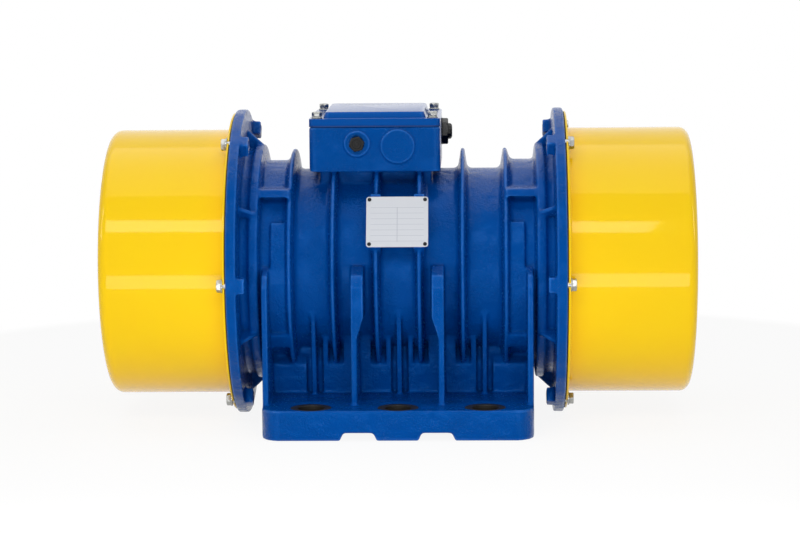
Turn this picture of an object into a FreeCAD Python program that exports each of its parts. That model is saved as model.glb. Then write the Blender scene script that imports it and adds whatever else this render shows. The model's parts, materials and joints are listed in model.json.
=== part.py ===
import FreeCAD, Part
import math
import os
import Sketcher
from FreeCAD import Placement, Rotation, Vector

# Six-hole industrial vibration motor: a cast body on two bolt-down feet, an induction motor inside it,
# and an unbalanced weight pair on each shaft end under a bolted yellow cap.
# Every piece is drawn about the shaft: X runs along the shaft, Z is up, and the origin is the shaft's
# middle. The placement of each piece then lifts it so that Z = 0 is the bottom of the feet.
# Pieces that come in a left and a right copy are drawn once, for the right end (+X), and turned half a
# turn about Z for the left end.

# Driving dimensions in millimetres, angles in degrees.
DIMENSIONS = [
    ("shaft_height", 230.0, "feet to shaft axis"),
    ("bolt_pitch", 125.0, "foot holes along the shaft"),
    ("bolt_gauge", 380.0, "foot holes across the shaft"),
    ("bolt_hole", 39.0, "foot hole diameter, for M36"),
    ("spot_face", 64.0, "machined washer seat diameter"),
    ("spot_depth", 3.0, "machined washer seat depth"),
    ("foot_length", 390.0, "length of each foot"),
    ("foot_outer", 226.0, "shaft plane to outer foot edge"),
    ("foot_inner", 66.0, "shaft plane to inner foot edge"),
    ("foot_thick", 44.0, "foot thickness"),
    ("foot_corner", 30.0, "foot corner radius in plan"),
    ("notch_width", 53.0, "relief notch under each foot"),
    ("notch_place", 56.0, "relief notch centre from the middle"),
    ("notch_height", 11.0, "relief notch height"),
    ("gusset_reach", 187.0, "shaft plane to gusset front edge"),
    ("gusset_top", 15.0, "shaft axis down to the gusset's front corner"),
    ("gusset_thin", 9.0, "gusset plate thickness"),
    ("gusset_thick", 18.0, "upper part of the middle gussets"),
    ("gusset_neck", 60.0, "shaft axis down to where the middle gussets thin"),
    ("skirt_foot", 86.0, "shaft plane to the skirt's face on the foot"),
    ("skirt_lean", 98.0, "shaft plane to the skirt's face on the barrel"),
    ("skirt_join", 97.0, "shaft axis down to where the skirt meets the barrel"),
    ("skirt_crest", 143.0, "shaft axis down to the skirt's low crest"),
    ("fin_valley", 22.0, "hollow in the skirt around a fin"),
    ("rib_channel", 24.0, "hollow in the skirt around a rib"),
    ("rib_thick", 7.0, "rib above each foot hole"),
    ("rib_foot", 100.0, "shaft plane to the rib's edge on the foot"),
    ("rib_top", 57.0, "shaft axis down to the rib's upper end"),
    ("barrel_rad", 138.0, "cast barrel outside"),
    ("stator_rad", 120.0, "stator seat in the barrel"),
    ("fin_rad", 168.0, "cooling fin tip"),
    ("fin_base", 13.0, "fin width at its root"),
    ("fin_tip", 5.0, "fin width at its tip"),
    ("bay_rad", 151.0, "end bays of the barrel"),
    ("ledge_top", 120.0, "shaft axis to the ledge in each end bay"),
    ("ledge_tall", 11.0, "ledge height"),
    ("strip_rad", 159.0, "raised strip below the ledge"),
    ("strip_middle", 174.0, "middle of the strip along the shaft"),
    ("strip_wide", 19.0, "strip width"),
    ("shoulder_rad", 175.0, "shoulder ring beside the flange"),
    ("neck_rad", 168.0, "neck between shoulder and flange"),
    ("flange_rad", 227.0, "end flange"),
    ("flange_thick", 15.0, "end flange thickness"),
    ("flange_face", 242.0, "middle to flange outer face"),
    ("cap_rad", 197.0, "cap outside"),
    ("cap_rim", 222.0, "cap rim outside"),
    ("cap_end", 428.5, "middle to cap end face"),
    ("cap_sheet", 3.0, "drawn sheet of the cap"),
    ("cap_round", 14.0, "cap end corner radius"),
    ("cap_screw_circle", 217.5, "cap screw circle radius"),
    ("cap_screw_turn", 58.0, "first cap screw above the horizontal"),
    ("spigot_rad", 140.0, "bearing housing seat in the casing"),
    ("bearing_out", 85.0, "roller bearing outside radius"),
    ("bearing_bore", 40.0, "roller bearing bore radius"),
    ("bearing_wide", 58.0, "roller bearing width"),
    ("bearing_start", 197.0, "middle to bearing inner face"),
    ("roller_rad", 10.2, "roller radius"),
    ("roller_circle", 62.5, "roller circle radius"),
    ("journal_seat", 35.0, "shaft radius under the weights"),
    ("rotor_rad", 84.0, "rotor core radius"),
    ("core_half", 100.0, "half length of rotor and stator cores"),
    ("weight_rad", 172.0, "eccentric weight outer radius"),
    ("weight_thick", 62.0, "eccentric weight thickness"),
    ("weight_start", 272.0, "middle to fixed weight"),
    ("weight_gap", 2.0, "axial gap between the two weights"),
    ("weight_sweep", 150.0, "eccentric sector angle"),
    ("box_middle", -33.5, "terminal box centre along the shaft"),
    ("box_length", 191.0, "terminal box along the shaft"),
    ("box_width", 202.0, "terminal box across the shaft"),
    ("box_floor", 142.5, "shaft axis to underside of the box"),
    ("box_base", 11.0, "thickness of the box's floor"),
    ("saddle_half", 67.0, "half width of the saddle under the box"),
    ("box_rim", 208.0, "shaft axis to the box rim"),
    ("box_wall", 9.0, "terminal box wall"),
    ("box_corner", 10.0, "terminal box corner radius"),
    ("gasket_thick", 2.0, "terminal box gasket"),
    ("lid_plate", 10.0, "lid edge thickness"),
    ("lid_panel", 9.5, "raised centre panel of the lid"),
    ("lid_bolt_x", 84.0, "lid bolts from the box centre, along"),
    ("lid_bolt_y", 88.0, "lid bolts from the box centre, across"),
    ("entry_height", 184.0, "shaft axis to the front cable entry"),
    ("entry_place", -59.0, "front cable entry along the shaft"),
    ("gland_height", 190.0, "shaft axis to the side gland"),
    ("gland_depth", 45.0, "shaft plane to the side gland"),
    ("plate_length", 89.0, "nameplate along the shaft"),
    ("plate_height", 82.0, "nameplate across"),
    ("plate_tilt", 27.0, "nameplate centre above the horizontal"),
    ("plate_seat", 171.0, "shaft axis to the nameplate seat"),
]

DOC = FreeCAD.newDocument("vibration_motor")


class Size:
    """A length with both its number and the spreadsheet expression that gives it."""

    def __init__(self, value, text):
        self.value = value
        self.text = text

    def __float__(self):
        return float(self.value)

    def __neg__(self):
        return Size(-self.value, "-(%s)" % self.text)

    def __add__(self, other):
        other = as_size(other)
        return Size(self.value + other.value, "(%s + %s)" % (self.text, other.text))

    def __sub__(self, other):
        other = as_size(other)
        return Size(self.value - other.value, "(%s - %s)" % (self.text, other.text))

    def __mul__(self, other):
        other = as_size(other)
        return Size(self.value * other.value, "(%s * %s)" % (self.text, other.text))

    def __truediv__(self, other):
        other = as_size(other)
        return Size(self.value / other.value, "(%s / %s)" % (self.text, other.text))

    def __rsub__(self, other):
        return as_size(other) - self

    __radd__ = __add__
    __rmul__ = __mul__


def as_size(value):
    return value if isinstance(value, Size) else Size(float(value), "(%g)" % value)


class Sheet:
    """The driving dimensions as attributes, each one a Size bound to its cell."""

    def __init__(self, rows):
        cells = DOC.addObject("Spreadsheet::Sheet", "Dimensions")
        for row, (alias, value, note) in enumerate(rows, start=1):
            cells.set("A%d" % row, note)
            cells.set("B%d" % row, "%g" % value)
            cells.setAlias("B%d" % row, alias)
            setattr(self, alias, Size(value, "Dimensions.%s" % alias))


D = Sheet(DIMENSIONS)
DOC.recompute()
ZERO = as_size(0)
NODES = []

HOLE_ROW = (-D.bolt_pitch, ZERO, D.bolt_pitch)
FIN_PLACES = (D.bolt_pitch / 4, D.bolt_pitch * 0.75, D.bolt_pitch * 1.25)
FLANGE_INNER = D.flange_face - D.flange_thick
FOOT_TOP = D.foot_thick - D.shaft_height
CAP_SCREWS = 6
SIDES = (1, -1)


# ---------------------------------------------------------------- helpers

def bind(item, **sizes):
    """Set properties from sizes and tie them to the sheet."""
    for name, size in sizes.items():
        size = as_size(size)
        setattr(item, name, size.value)
        item.setExpression(name, size.text)
    return item


def place(item, x=0, y=0, z=0, turn=None):
    """Place an object at bound coordinates, with an optional fixed rotation."""
    item.Placement = Placement(Vector(float(x), float(y), float(z)), turn or Rotation())
    for axis, size in (("x", x), ("y", y), ("z", z)):
        item.setExpression("Placement.Base." + axis, as_size(size).text)
    return item


def finish(item, label, side=1):
    """Name a finished piece and lift it from the shaft frame to the feet frame."""
    place(item, z=D.shaft_height, turn=Rotation(Vector(0, 0, 1), 0 if side > 0 else 180))
    item.Label = label
    NODES.append(item)
    return item


def new_body(name):
    return DOC.addObject("PartDesign::Body", name)


def sketch_on(body, plane, offset=0):
    """A sketch on one of the body's own origin planes, moved along that plane's normal."""
    sketch = body.newObject("Sketcher::SketchObject", "Sketch")
    base = next(f for f in body.Origin.OriginFeatures if f.Role == plane)
    sketch.AttachmentSupport = [(base, "")]
    sketch.MapMode = "FlatFace"
    sketch.AttachmentOffset = Placement(Vector(0, 0, float(offset)), Rotation())
    sketch.setExpression("AttachmentOffset.Base.z", as_size(offset).text)
    return sketch


def hold(sketch, geometry, vertex, x, y):
    """Fix one sketch point by its two bound coordinates."""
    for kind, size in (("DistanceX", as_size(x)), ("DistanceY", as_size(y))):
        rule = Sketcher.Constraint(kind, -1, 1, geometry, vertex, size.value)
        index = sketch.addConstraint(rule)
        sketch.setExpression("Constraints[%d]" % index, size.text)


def outline(sketch, points):
    """A closed outline of straight lines through bound points."""
    first = sketch.GeometryCount
    corners = [Vector(float(x), float(y), 0) for x, y in points]
    for start, end in zip(corners, corners[1:] + corners[:1]):
        sketch.addGeometry(Part.LineSegment(start, end), False)
    for i, (x, y) in enumerate(points):
        following = first + (i + 1) % len(points)
        sketch.addConstraint(Sketcher.Constraint("Coincident", first + i, 2, following, 1))
        hold(sketch, first + i, 1, x, y)


def rectangle(sketch, x0, y0, x1, y1):
    outline(sketch, [(x0, y0), (x1, y0), (x1, y1), (x0, y1)])


def circle(sketch, x, y, radius):
    radius = as_size(radius)
    shape = Part.Circle(Vector(float(x), float(y), 0), Vector(0, 0, 1), radius.value)
    index = sketch.addGeometry(shape, False)
    rule = sketch.addConstraint(Sketcher.Constraint("Radius", index, radius.value))
    sketch.setExpression("Constraints[%d]" % rule, radius.text)
    hold(sketch, index, 3, x, y)


def revolve(body, sketch, kind="PartDesign::Revolution"):
    """Turn a profile in the XZ plane a full turn about the shaft."""
    feature = body.newObject(kind, "Turn")
    feature.Profile = sketch
    feature.ReferenceAxis = (sketch, ["H_Axis"])
    feature.Angle = 360
    return feature


def pad(body, sketch, length, reverse=False, middle=False, taper=0):
    feature = body.newObject("PartDesign::Pad", "Pad")
    feature.Profile = sketch
    feature.SideType = "Symmetric" if middle else "One side"
    feature.Reversed = reverse
    feature.TaperAngle = taper
    return bind(feature, Length=length)


def pocket(body, sketch, length, reverse=False):
    """Cut against the sketch normal, or along it when reversed."""
    feature = body.newObject("PartDesign::Pocket", "Pocket")
    feature.Profile = sketch
    feature.Reversed = reverse
    return bind(feature, Length=length)


def ring_pattern(body, features, count):
    """Repeat features evenly about the shaft."""
    pattern = body.newObject("PartDesign::PolarPattern", "Ring")
    pattern.Originals = features
    pattern.Axis = (next(f for f in body.Origin.OriginFeatures if f.Role == "X_Axis"), [""])
    pattern.Angle = 360
    pattern.Occurrences = count
    body.Tip = pattern
    return pattern


def round_edges(body, radius, chosen):
    """Fillet the edges of the current tip that the test picks."""
    DOC.recompute()
    tip = body.Tip
    names = ["Edge%d" % i for i, edge in enumerate(tip.Shape.Edges, start=1) if chosen(edge)]
    if not names:
        raise RuntimeError("no edge to round on " + body.Name)
    fillet = body.newObject("PartDesign::Fillet", "Round")
    fillet.Base = (tip, names)
    return bind(fillet, Radius=radius)


def is_line(edge, direction):
    return edge.Curve.TypeId == "Part::GeomLine" and abs(edge.Curve.Direction.dot(direction)) > 0.999


def mirrored(points):
    """A right-hand outline continued by its mirror image on the left."""
    return list(points) + [(-x, y) for x, y in reversed(points)]


def turned_piece(label, points, side=1):
    """A plain solid of revolution about the shaft."""
    body = new_body(label)
    sketch = sketch_on(body, "XZ_Plane")
    outline(sketch, points)
    revolve(body, sketch)
    return finish(body, label, side)


def tube_points(start, end, inner, outer):
    return [(start, inner), (end, inner), (end, outer), (start, outer)]


def group(label, shapes, side=1):
    """Separate solids that share one node."""
    item = DOC.addObject("Part::Feature", label)
    item.Shape = Part.makeCompound(shapes)
    return finish(item, label, side)


def hex_prism(across_flats, height):
    """A hexagon standing on the origin, across flats along Y."""
    radius = across_flats / math.sqrt(3)
    corners = [Vector(radius * math.cos(math.radians(60 * i)), radius * math.sin(math.radians(60 * i)), 0)
               for i in range(7)]
    return Part.Face(Part.makePolygon(corners)).extrude(Vector(0, 0, height))


CROWN_WIDE = 0.62               # a screw head's turned crown, as shares of its width across flats
CROWN_TOP = 0.44


def hex_screw(size, head, across_flats, length):
    """A hexagon screw whose head stands on the origin and whose shank points down."""
    wide = across_flats * CROWN_WIDE
    crown = Part.makeCone(wide, across_flats * CROWN_TOP, head / 2, Vector(0, 0, head / 2))
    crown = crown.fuse(Part.makeCylinder(wide, head / 2))
    shank = Part.makeCylinder(size / 2, length, Vector(0, 0, -length))
    return hex_prism(across_flats, head).common(crown).fuse(shank).removeSplitter()


def washer(outer, inner, thick):
    return Part.makeCylinder(outer, thick).cut(Part.makeCylinder(inner, thick))


def aim(shape, spot, direction):
    """A copy of a shape drawn along +Z, moved to a spot and pointed along a direction."""
    moved = shape.copy()
    moved.Placement = Placement(spot, Rotation(Vector(0, 0, 1), direction))
    return moved


def around_shaft(x, radius, degrees):
    angle = math.radians(degrees)
    return Vector(float(x), -float(radius) * math.cos(angle), float(radius) * math.sin(angle))


def cap_screw_spots(x, side=1):
    """Cap screw places in the frame that a piece is drawn in, alike seen from the front at both ends."""
    step = 360 / CAP_SCREWS
    spots = [around_shaft(x, D.cap_screw_circle, float(D.cap_screw_turn) - step * i) for i in range(CAP_SCREWS)]
    return [Vector(spot.x, spot.y * side, spot.z) for spot in spots]


OUT = Vector(1, 0, 0)
UP = Vector(0, 0, 1)


# ---------------------------------------------------------------- cast body

HOUSING_BOLTS = 8
HOUSING_CIRCLE = 155.0
HOUSING_BOLT = 12.0
HOUSING_TAP = 24.0
HOUSING_TURN = 22.5
CAP_SCREW = 10.0
BORE_STEP = 21.0
BURY = 4.0                      # how far an added form reaches into the one that carries it
OUTER_GUSSET = D.foot_length / 2 - D.gusset_thin / 2
WALL_MIDDLE = (D.barrel_rad + D.stator_rad) / 2
BAY_MIDDLE = (D.bay_rad + D.stator_rad) / 2


def in_wall(radius, degrees, side):
    """A point inside the barrel's wall, at an angle above the horizontal, on one side of the shaft."""
    angle = math.radians(degrees)
    return radius * (math.cos(angle) * side), radius * math.sin(angle)


FIN_FLARE = 4.0
SHOULDER_START = 29.0
SHOULDER_WIDE = 12.0
SHOULDER_SLOPE = 3.0


def barrel_profile():
    """Right half of the barrel's outer line, from the middle to the flange, then back along the bore."""
    line = []
    root = D.fin_base / 2
    tip = D.fin_tip / 2
    for fin in FIN_PLACES:
        outer_root = D.bay_rad if fin is FIN_PLACES[-1] else D.barrel_rad
        line.append((fin - root - FIN_FLARE, D.barrel_rad))
        line.append((fin - root, D.barrel_rad + FIN_FLARE))
        line.append((fin - tip, D.fin_rad))
        line.append((fin + tip, D.fin_rad))
        line.append((fin + root, outer_root + FIN_FLARE))
        line.append((fin + root + FIN_FLARE, outer_root))
    shoulder = FLANGE_INNER - SHOULDER_START
    line.append((shoulder, D.bay_rad))
    line.append((shoulder + SHOULDER_SLOPE, D.shoulder_rad))
    line.append((shoulder + SHOULDER_SLOPE + SHOULDER_WIDE, D.shoulder_rad))
    line.append((shoulder + SHOULDER_SLOPE * 2 + SHOULDER_WIDE, D.neck_rad))
    line.append((FLANGE_INNER, D.neck_rad))
    line.append((FLANGE_INNER, D.flange_rad))
    line.append((D.flange_face, D.flange_rad))
    line.append((D.flange_face, D.spigot_rad))
    line.append((D.bearing_start - BORE_STEP, D.spigot_rad))
    line.append((D.bearing_start - BORE_STEP, D.stator_rad))
    return mirrored(line)


def add_barrel(body):
    sketch = sketch_on(body, "XZ_Plane")
    outline(sketch, barrel_profile())
    revolve(body, sketch)


def add_feet(body):
    """Two bolt-down rails, one on each side of the open belly."""
    for side in SIDES:
        sketch = sketch_on(body, "XY_Plane", -D.shaft_height)
        rectangle(sketch, -D.foot_length / 2, D.foot_inner * side, D.foot_length / 2, D.foot_outer * side)
        pad(body, sketch, D.foot_thick)

    def outer_corner(edge):
        middle = edge.CenterOfMass
        front = abs(abs(middle.y) - float(D.foot_outer)) < 0.1
        return is_line(edge, UP) and front and abs(abs(middle.x) - float(D.foot_length) / 2) < 0.1

    round_edges(body, D.foot_corner, outer_corner)


CREST_BACK = 18.0
CREST_RISE = 15.0
CHANNEL_BACK = 9.0


def skirt_face(z):
    """How far out the skirt's leaning face stands at a height."""
    return D.skirt_foot + (D.skirt_lean - D.skirt_foot) * ((z - FOOT_TOP) / (-D.skirt_join - FOOT_TOP))


def low_skirt(side, back):
    """Side view of the skirt up to its crest, set back by a distance."""
    crest = skirt_face(-D.skirt_crest) - back
    return [(D.foot_inner * side, FOOT_TOP - BURY), ((skirt_face(FOOT_TOP) - back) * side, FOOT_TOP - BURY),
            (crest * side, -D.skirt_crest), ((crest - CREST_BACK + back) * side, CREST_RISE - D.skirt_crest),
            in_wall(WALL_MIDDLE, -57, side), in_wall(WALL_MIDDLE, -60, side)]


def high_skirt(side):
    """Side view of the skirt where it rises to the barrel."""
    return [(D.foot_inner * side, -D.skirt_crest - BURY),
            (skirt_face(-D.skirt_crest - BURY) * side, -D.skirt_crest - BURY),
            (D.skirt_lean * side, -D.skirt_join),
            in_wall(WALL_MIDDLE, -42, side), in_wall(WALL_MIDDLE, -60, side)]


def add_stretch(body, start, stop, shape):
    """The same wall on both sides of the shaft, between two places along it, at both ends."""
    for end in SIDES:
        sketch = sketch_on(body, "YZ_Plane", start if end > 0 else -stop)
        for side in SIDES:
            outline(sketch, shape(side))
        pad(body, sketch, stop - start)


def add_skirts(body):
    """Walls that carry the barrel on the feet, hollowed around the fins and the ribs."""
    channel = D.rib_channel / 2
    valley = D.fin_valley / 2
    fins = FIN_PLACES
    add_stretch(body, ZERO, OUTER_GUSSET, lambda side: low_skirt(side, CHANNEL_BACK))
    for start, stop in ((channel, D.bolt_pitch - channel), (D.bolt_pitch + channel, OUTER_GUSSET)):
        add_stretch(body, start, stop, lambda side: low_skirt(side, 0))
    for start, stop in ((channel, fins[0] - valley), (fins[0] + valley, fins[1] - valley),
                        (fins[1] + valley, D.bolt_pitch - channel)):
        add_stretch(body, start, stop, high_skirt)


TOP_REACH = 12.0
TOP_RISE = 26.0
CORNER_BACK = 8.0
CORNER_RISE = 16.0


def gusset_top(side):
    """The gusset's rounded upper corner, from its front edge back to the barrel."""
    high = -D.gusset_top
    return [(D.gusset_reach * side, high), ((D.gusset_reach - CORNER_BACK) * side, high + CORNER_RISE),
            ((D.barrel_rad + TOP_REACH) * side, high + TOP_RISE), in_wall(WALL_MIDDLE, 5, side)]


def gusset_plate(side):
    """Side view of an upright plate from the foot to the barrel."""
    low = FOOT_TOP - BURY
    return ([(D.skirt_foot * side, low), (D.gusset_reach * side, low)] + gusset_top(side)
            + [in_wall(WALL_MIDDLE, -20, side), in_wall(WALL_MIDDLE, -45, side)])


def gusset_head(side):
    """Side view of the thicker upper part of a middle gusset."""
    return ([in_wall(WALL_MIDDLE, -27, side), (D.gusset_reach * side, -D.gusset_neck)] + gusset_top(side)
            + [in_wall(WALL_MIDDLE, -12, side)])


NECK_TALL = 28.0
NECK_DEEP = 65.0


def add_gussets(body):
    """Four upright plates on each side; the middle pairs are thicker above half height."""
    half = D.gusset_thin / 2
    head_start = D.bolt_pitch / 2 + half - D.gusset_thick
    for middle in (D.bolt_pitch / 2, OUTER_GUSSET):
        add_stretch(body, middle - half, middle + half, gusset_plate)
    add_stretch(body, head_start, D.bolt_pitch / 2 + half, gusset_head)
    for side in SIDES:
        slope = sketch_on(body, "XZ_Plane", D.gusset_reach * side)
        for end in SIDES:
            plate_face = (D.bolt_pitch / 2 - half) * end
            outline(slope, [(plate_face, -D.gusset_neck), (head_start * end, -D.gusset_neck),
                            (plate_face, -D.gusset_neck - NECK_TALL)])
        pad(body, slope, as_size(NECK_DEEP), reverse=side > 0)


def rib_plate(side):
    """Side view of a rib from the foot to the barrel."""
    return [(D.foot_inner * side, FOOT_TOP - BURY), (D.rib_foot * side, FOOT_TOP - BURY),
            ((D.barrel_rad - TOP_REACH) * side, -D.rib_top), in_wall(WALL_MIDDLE, -21, side),
            in_wall(WALL_MIDDLE, -45, side), in_wall(WALL_MIDDLE, -60, side)]


def add_hole_ribs(body):
    """A thin rib between the barrel and the foot above each foot hole."""
    for middle in HOLE_ROW:
        sketch = sketch_on(body, "YZ_Plane", middle)
        for side in SIDES:
            outline(sketch, rib_plate(side))
        pad(body, sketch, D.rib_thick, middle=True)


TOE_WIDE = 25.0
TOE_RAD = 167.0
STRIP_AT = -5.0
STRIP_SWEEP = 66.0
TOE_AT = -38.0
TOE_SWEEP = 9.0


def add_band(body, middle, width, outer, degrees, sweep):
    """A raised band round part of both end bays, front and back, centred at an angle."""
    for side in SIDES:
        sketch = sketch_on(body, "XZ_Plane")
        sketch.AttachmentOffset = Placement(Vector(), Rotation(Vector(1, 0, 0), (90 - degrees) * side))
        for end in SIDES:
            rectangle(sketch, (middle - width / 2) * end, BAY_MIDDLE, (middle + width / 2) * end, outer)
        band = revolve(body, sketch)
        band.Midplane = True
        band.Angle = sweep


def add_end_bays(body):
    """The ledge, the strip and its toe in each end bay."""
    high = D.ledge_top
    low = D.ledge_top - D.ledge_tall

    def ledge(side):
        return [(D.stator_rad * 0.73 * side, high), (D.stator_rad * 1.03 * side, high),
                (D.stator_rad * 1.1 * side, low), (D.stator_rad * 0.81 * side, low)]

    add_stretch(body, FIN_PLACES[-1], FLANGE_INNER - SHOULDER_START + SHOULDER_SLOPE, ledge)
    add_band(body, D.strip_middle, D.strip_wide, D.strip_rad, STRIP_AT, STRIP_SWEEP)
    add_band(body, D.strip_middle, TOE_WIDE, as_size(TOE_RAD), TOE_AT, TOE_SWEEP)


BOSS_DEEP = 12.0
BOSS_HALF = 11.0
BOSS_BELOW = 14.0
BOSS_ABOVE = 2.0
WEB_THICK = 6.0
WEB_LONG = 26.0
WEB_TOP = 28.0


def add_flange_bosses(body):
    """Screw bosses and stiffeners on the inner side of both flanges."""
    for end in SIDES:
        boss = sketch_on(body, "YZ_Plane", FLANGE_INNER * end)
        boss.AttachmentOffset.Rotation = Rotation(Vector(0, 0, 1), 90 - float(D.cap_screw_turn))
        rectangle(boss, as_size(-BOSS_HALF), D.cap_screw_circle - BOSS_BELOW,
                  as_size(BOSS_HALF), D.flange_rad - BOSS_ABOVE)
        lump = pad(body, boss, BOSS_DEEP, reverse=end > 0)
        near = (FLANGE_INNER + 1) * end
        far = (FLANGE_INNER - WEB_LONG) * end
        root = D.shoulder_rad - BOSS_DEEP
        web = sketch_on(body, "XZ_Plane")
        outline(web, [(near, root), (near, D.flange_rad - WEB_TOP), (far, D.shoulder_rad - 1), (far, root)])
        rib = pad(body, web, as_size(WEB_THICK), middle=True)
        ring_pattern(body, [lump, rib], CAP_SCREWS)


SADDLE_INSET = 14.0
SADDLE_ROOT = 34.0
POST = 22.0
TAP_DEPTH = 24.0
EARTH_PLACE = (28.0, -66.0)
EARTH_TAP = 4.0
EARTH_DEPTH = 9.0
WIRE_PLACE = 45.0
WIRE_HOLE = 14.0


def add_terminal_box(body):
    """The box base on its saddle."""
    left = D.box_middle - D.box_length / 2
    right = D.box_middle + D.box_length / 2
    saddle = sketch_on(body, "XY_Plane", D.stator_rad - SADDLE_ROOT)
    rectangle(saddle, left + SADDLE_INSET, -D.saddle_half, right - SADDLE_INSET, D.saddle_half)
    pad(body, saddle, D.box_floor - D.stator_rad + SADDLE_ROOT + 1)
    walls = sketch_on(body, "XY_Plane", D.box_floor)
    rectangle(walls, left, -D.box_width / 2, right, D.box_width / 2)
    pad(body, walls, D.box_rim - D.box_floor)

    def box_corner(edge):
        middle = edge.CenterOfMass
        high = middle.z > float(D.box_floor) and abs(abs(middle.y) - float(D.box_width) / 2) < 0.1
        return is_line(edge, UP) and high

    round_edges(body, D.box_corner, box_corner)
    bore = sketch_on(body, "YZ_Plane", BORE_STEP - D.bearing_start)
    circle(bore, ZERO, ZERO, D.stator_rad)
    pocket(body, bore, (D.bearing_start - BORE_STEP) * 2, reverse=True)


def cut_terminal_box(body):
    """The box's hollow between its corner posts, its tapped holes and the way down for the wires."""
    x0 = D.box_middle - D.box_length / 2 + D.box_wall
    x1 = D.box_middle + D.box_length / 2 - D.box_wall
    y1 = D.box_width / 2 - D.box_wall
    cavity = sketch_on(body, "XY_Plane", D.box_rim)
    outline(cavity, [(x0 + POST, -y1), (x1 - POST, -y1), (x1, -y1 + POST), (x1, y1 - POST),
                     (x1 - POST, y1), (x0 + POST, y1), (x0, y1 - POST), (x0, -y1 + POST)])
    pocket(body, cavity, D.box_rim - D.box_floor - D.box_base)
    taps = sketch_on(body, "XY_Plane", D.box_rim)
    for side_x in SIDES:
        for side_y in SIDES:
            circle(taps, D.box_middle + D.lid_bolt_x * side_x, D.lid_bolt_y * side_y, CAP_SCREW / 2)
    pocket(body, taps, TAP_DEPTH)
    earth = sketch_on(body, "XY_Plane", D.box_floor + D.box_base)
    circle(earth, as_size(EARTH_PLACE[0]), as_size(EARTH_PLACE[1]), as_size(EARTH_TAP))
    pocket(body, earth, EARTH_DEPTH)
    wires = sketch_on(body, "XY_Plane", D.box_floor + D.box_base + 1)
    circle(wires, D.box_middle, as_size(WIRE_PLACE), as_size(WIRE_HOLE))
    pocket(body, wires, D.box_floor - D.stator_rad * 0.6)


PLUG_RAD = 10.0
PLUG_FACE = 19.0
PLUG_PROUD = 3.5
PLUG_DEPTH = 20.0
BLANK_FACE = 25.0
BLANK_PROUD = 3.0
BLANK_DROP = 4.0
GLAND_RAD = 12.5
GLAND_DEPTH = 16.0


def add_cable_entries(body):
    """Raised faces for the front entry, the blank front entry and the side gland."""
    face = D.box_width / 2
    front = sketch_on(body, "XZ_Plane", face - 1)
    circle(front, D.entry_place, D.entry_height, as_size(PLUG_FACE))
    pad(body, front, PLUG_PROUD + 1)
    blank = sketch_on(body, "XZ_Plane", face - 1)
    circle(blank, ZERO, D.entry_height - BLANK_DROP, as_size(BLANK_FACE))
    pad(body, blank, BLANK_PROUD + 1)
    plug = sketch_on(body, "XZ_Plane", face + PLUG_PROUD + 1)
    circle(plug, D.entry_place, D.entry_height, as_size(PLUG_RAD))
    pocket(body, plug, PLUG_DEPTH)
    gland = sketch_on(body, "YZ_Plane", D.box_middle + D.box_length / 2 + 1)
    circle(gland, D.gland_depth, D.gland_height, as_size(GLAND_RAD))
    pocket(body, gland, GLAND_DEPTH)


SEAT_HALF = 8.0
SEAT_ROOT = 6.0


def tilted_sketch(body, distance):
    """A sketch square to the nameplate's direction, at a distance from the shaft axis."""
    sketch = sketch_on(body, "XZ_Plane")
    tilt = Rotation(Vector(1, 0, 0), -float(D.plate_tilt))
    sketch.setExpression("AttachmentOffset.Base.z", None)
    sketch.AttachmentOffset = Placement(tilt.multVec(Vector(0, 0, float(distance))), tilt)
    return sketch


def add_plate_seats(body):
    """Flat pads across the two middle fins that carry the nameplate."""
    sketch = tilted_sketch(body, D.barrel_rad - SEAT_ROOT)
    for end in SIDES:
        fin = FIN_PLACES[0] * end
        rectangle(sketch, fin - SEAT_HALF, -D.plate_height / 2, fin + SEAT_HALF, D.plate_height / 2)
    pad(body, sketch, D.plate_seat - D.barrel_rad + SEAT_ROOT)


NOTCH_SLOPE = 5.0
NOTCH_ROUND = 5.0


def cut_bolt_holes(body):
    """Foot holes with machined washer seats, and the relief notches under the feet."""
    holes = sketch_on(body, "XY_Plane", FOOT_TOP + 1)
    seats = sketch_on(body, "XY_Plane", FOOT_TOP)
    for x in HOLE_ROW:
        for side in SIDES:
            circle(holes, x, D.bolt_gauge / 2 * side, D.bolt_hole / 2)
            circle(seats, x, D.bolt_gauge / 2 * side, D.spot_face / 2)
    pocket(body, seats, D.spot_depth)
    pocket(body, holes, D.foot_thick + 2)
    notches = sketch_on(body, "XZ_Plane")
    top = D.notch_height - D.shaft_height
    half = D.notch_width / 2
    for side in SIDES:
        middle = D.notch_place * side
        outline(notches, [(middle - half, -D.shaft_height - 1), (middle + half, -D.shaft_height - 1),
                          (middle + half - NOTCH_SLOPE, top), (middle - half + NOTCH_SLOPE, top)])
    through = pocket(body, notches, D.foot_outer * 2 + BURY)
    through.SideType = "Symmetric"

    def notch_corner(edge):
        return is_line(edge, Vector(0, 1, 0)) and abs(edge.CenterOfMass.z - float(top)) < 0.1

    round_edges(body, NOTCH_ROUND, notch_corner)


def cut_flange_holes(body):
    """Tapped holes for the cap screws and the housing bolts in both flange faces."""
    for end in SIDES:
        caps = sketch_on(body, "YZ_Plane", D.flange_face * end)
        for spot in cap_screw_spots(0):
            circle(caps, as_size(spot.y), as_size(spot.z), as_size(CAP_SCREW / 2))
        pocket(body, caps, D.flange_thick + BOSS_DEEP + 1, reverse=end < 0)
        bolts = sketch_on(body, "YZ_Plane", D.flange_face * end)
        for i in range(HOUSING_BOLTS):
            spot = around_shaft(0, HOUSING_CIRCLE, HOUSING_TURN + 360 / HOUSING_BOLTS * i)
            circle(bolts, as_size(spot.y), as_size(spot.z), as_size(HOUSING_BOLT / 2))
        pocket(body, bolts, HOUSING_TAP, reverse=end < 0)


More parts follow.
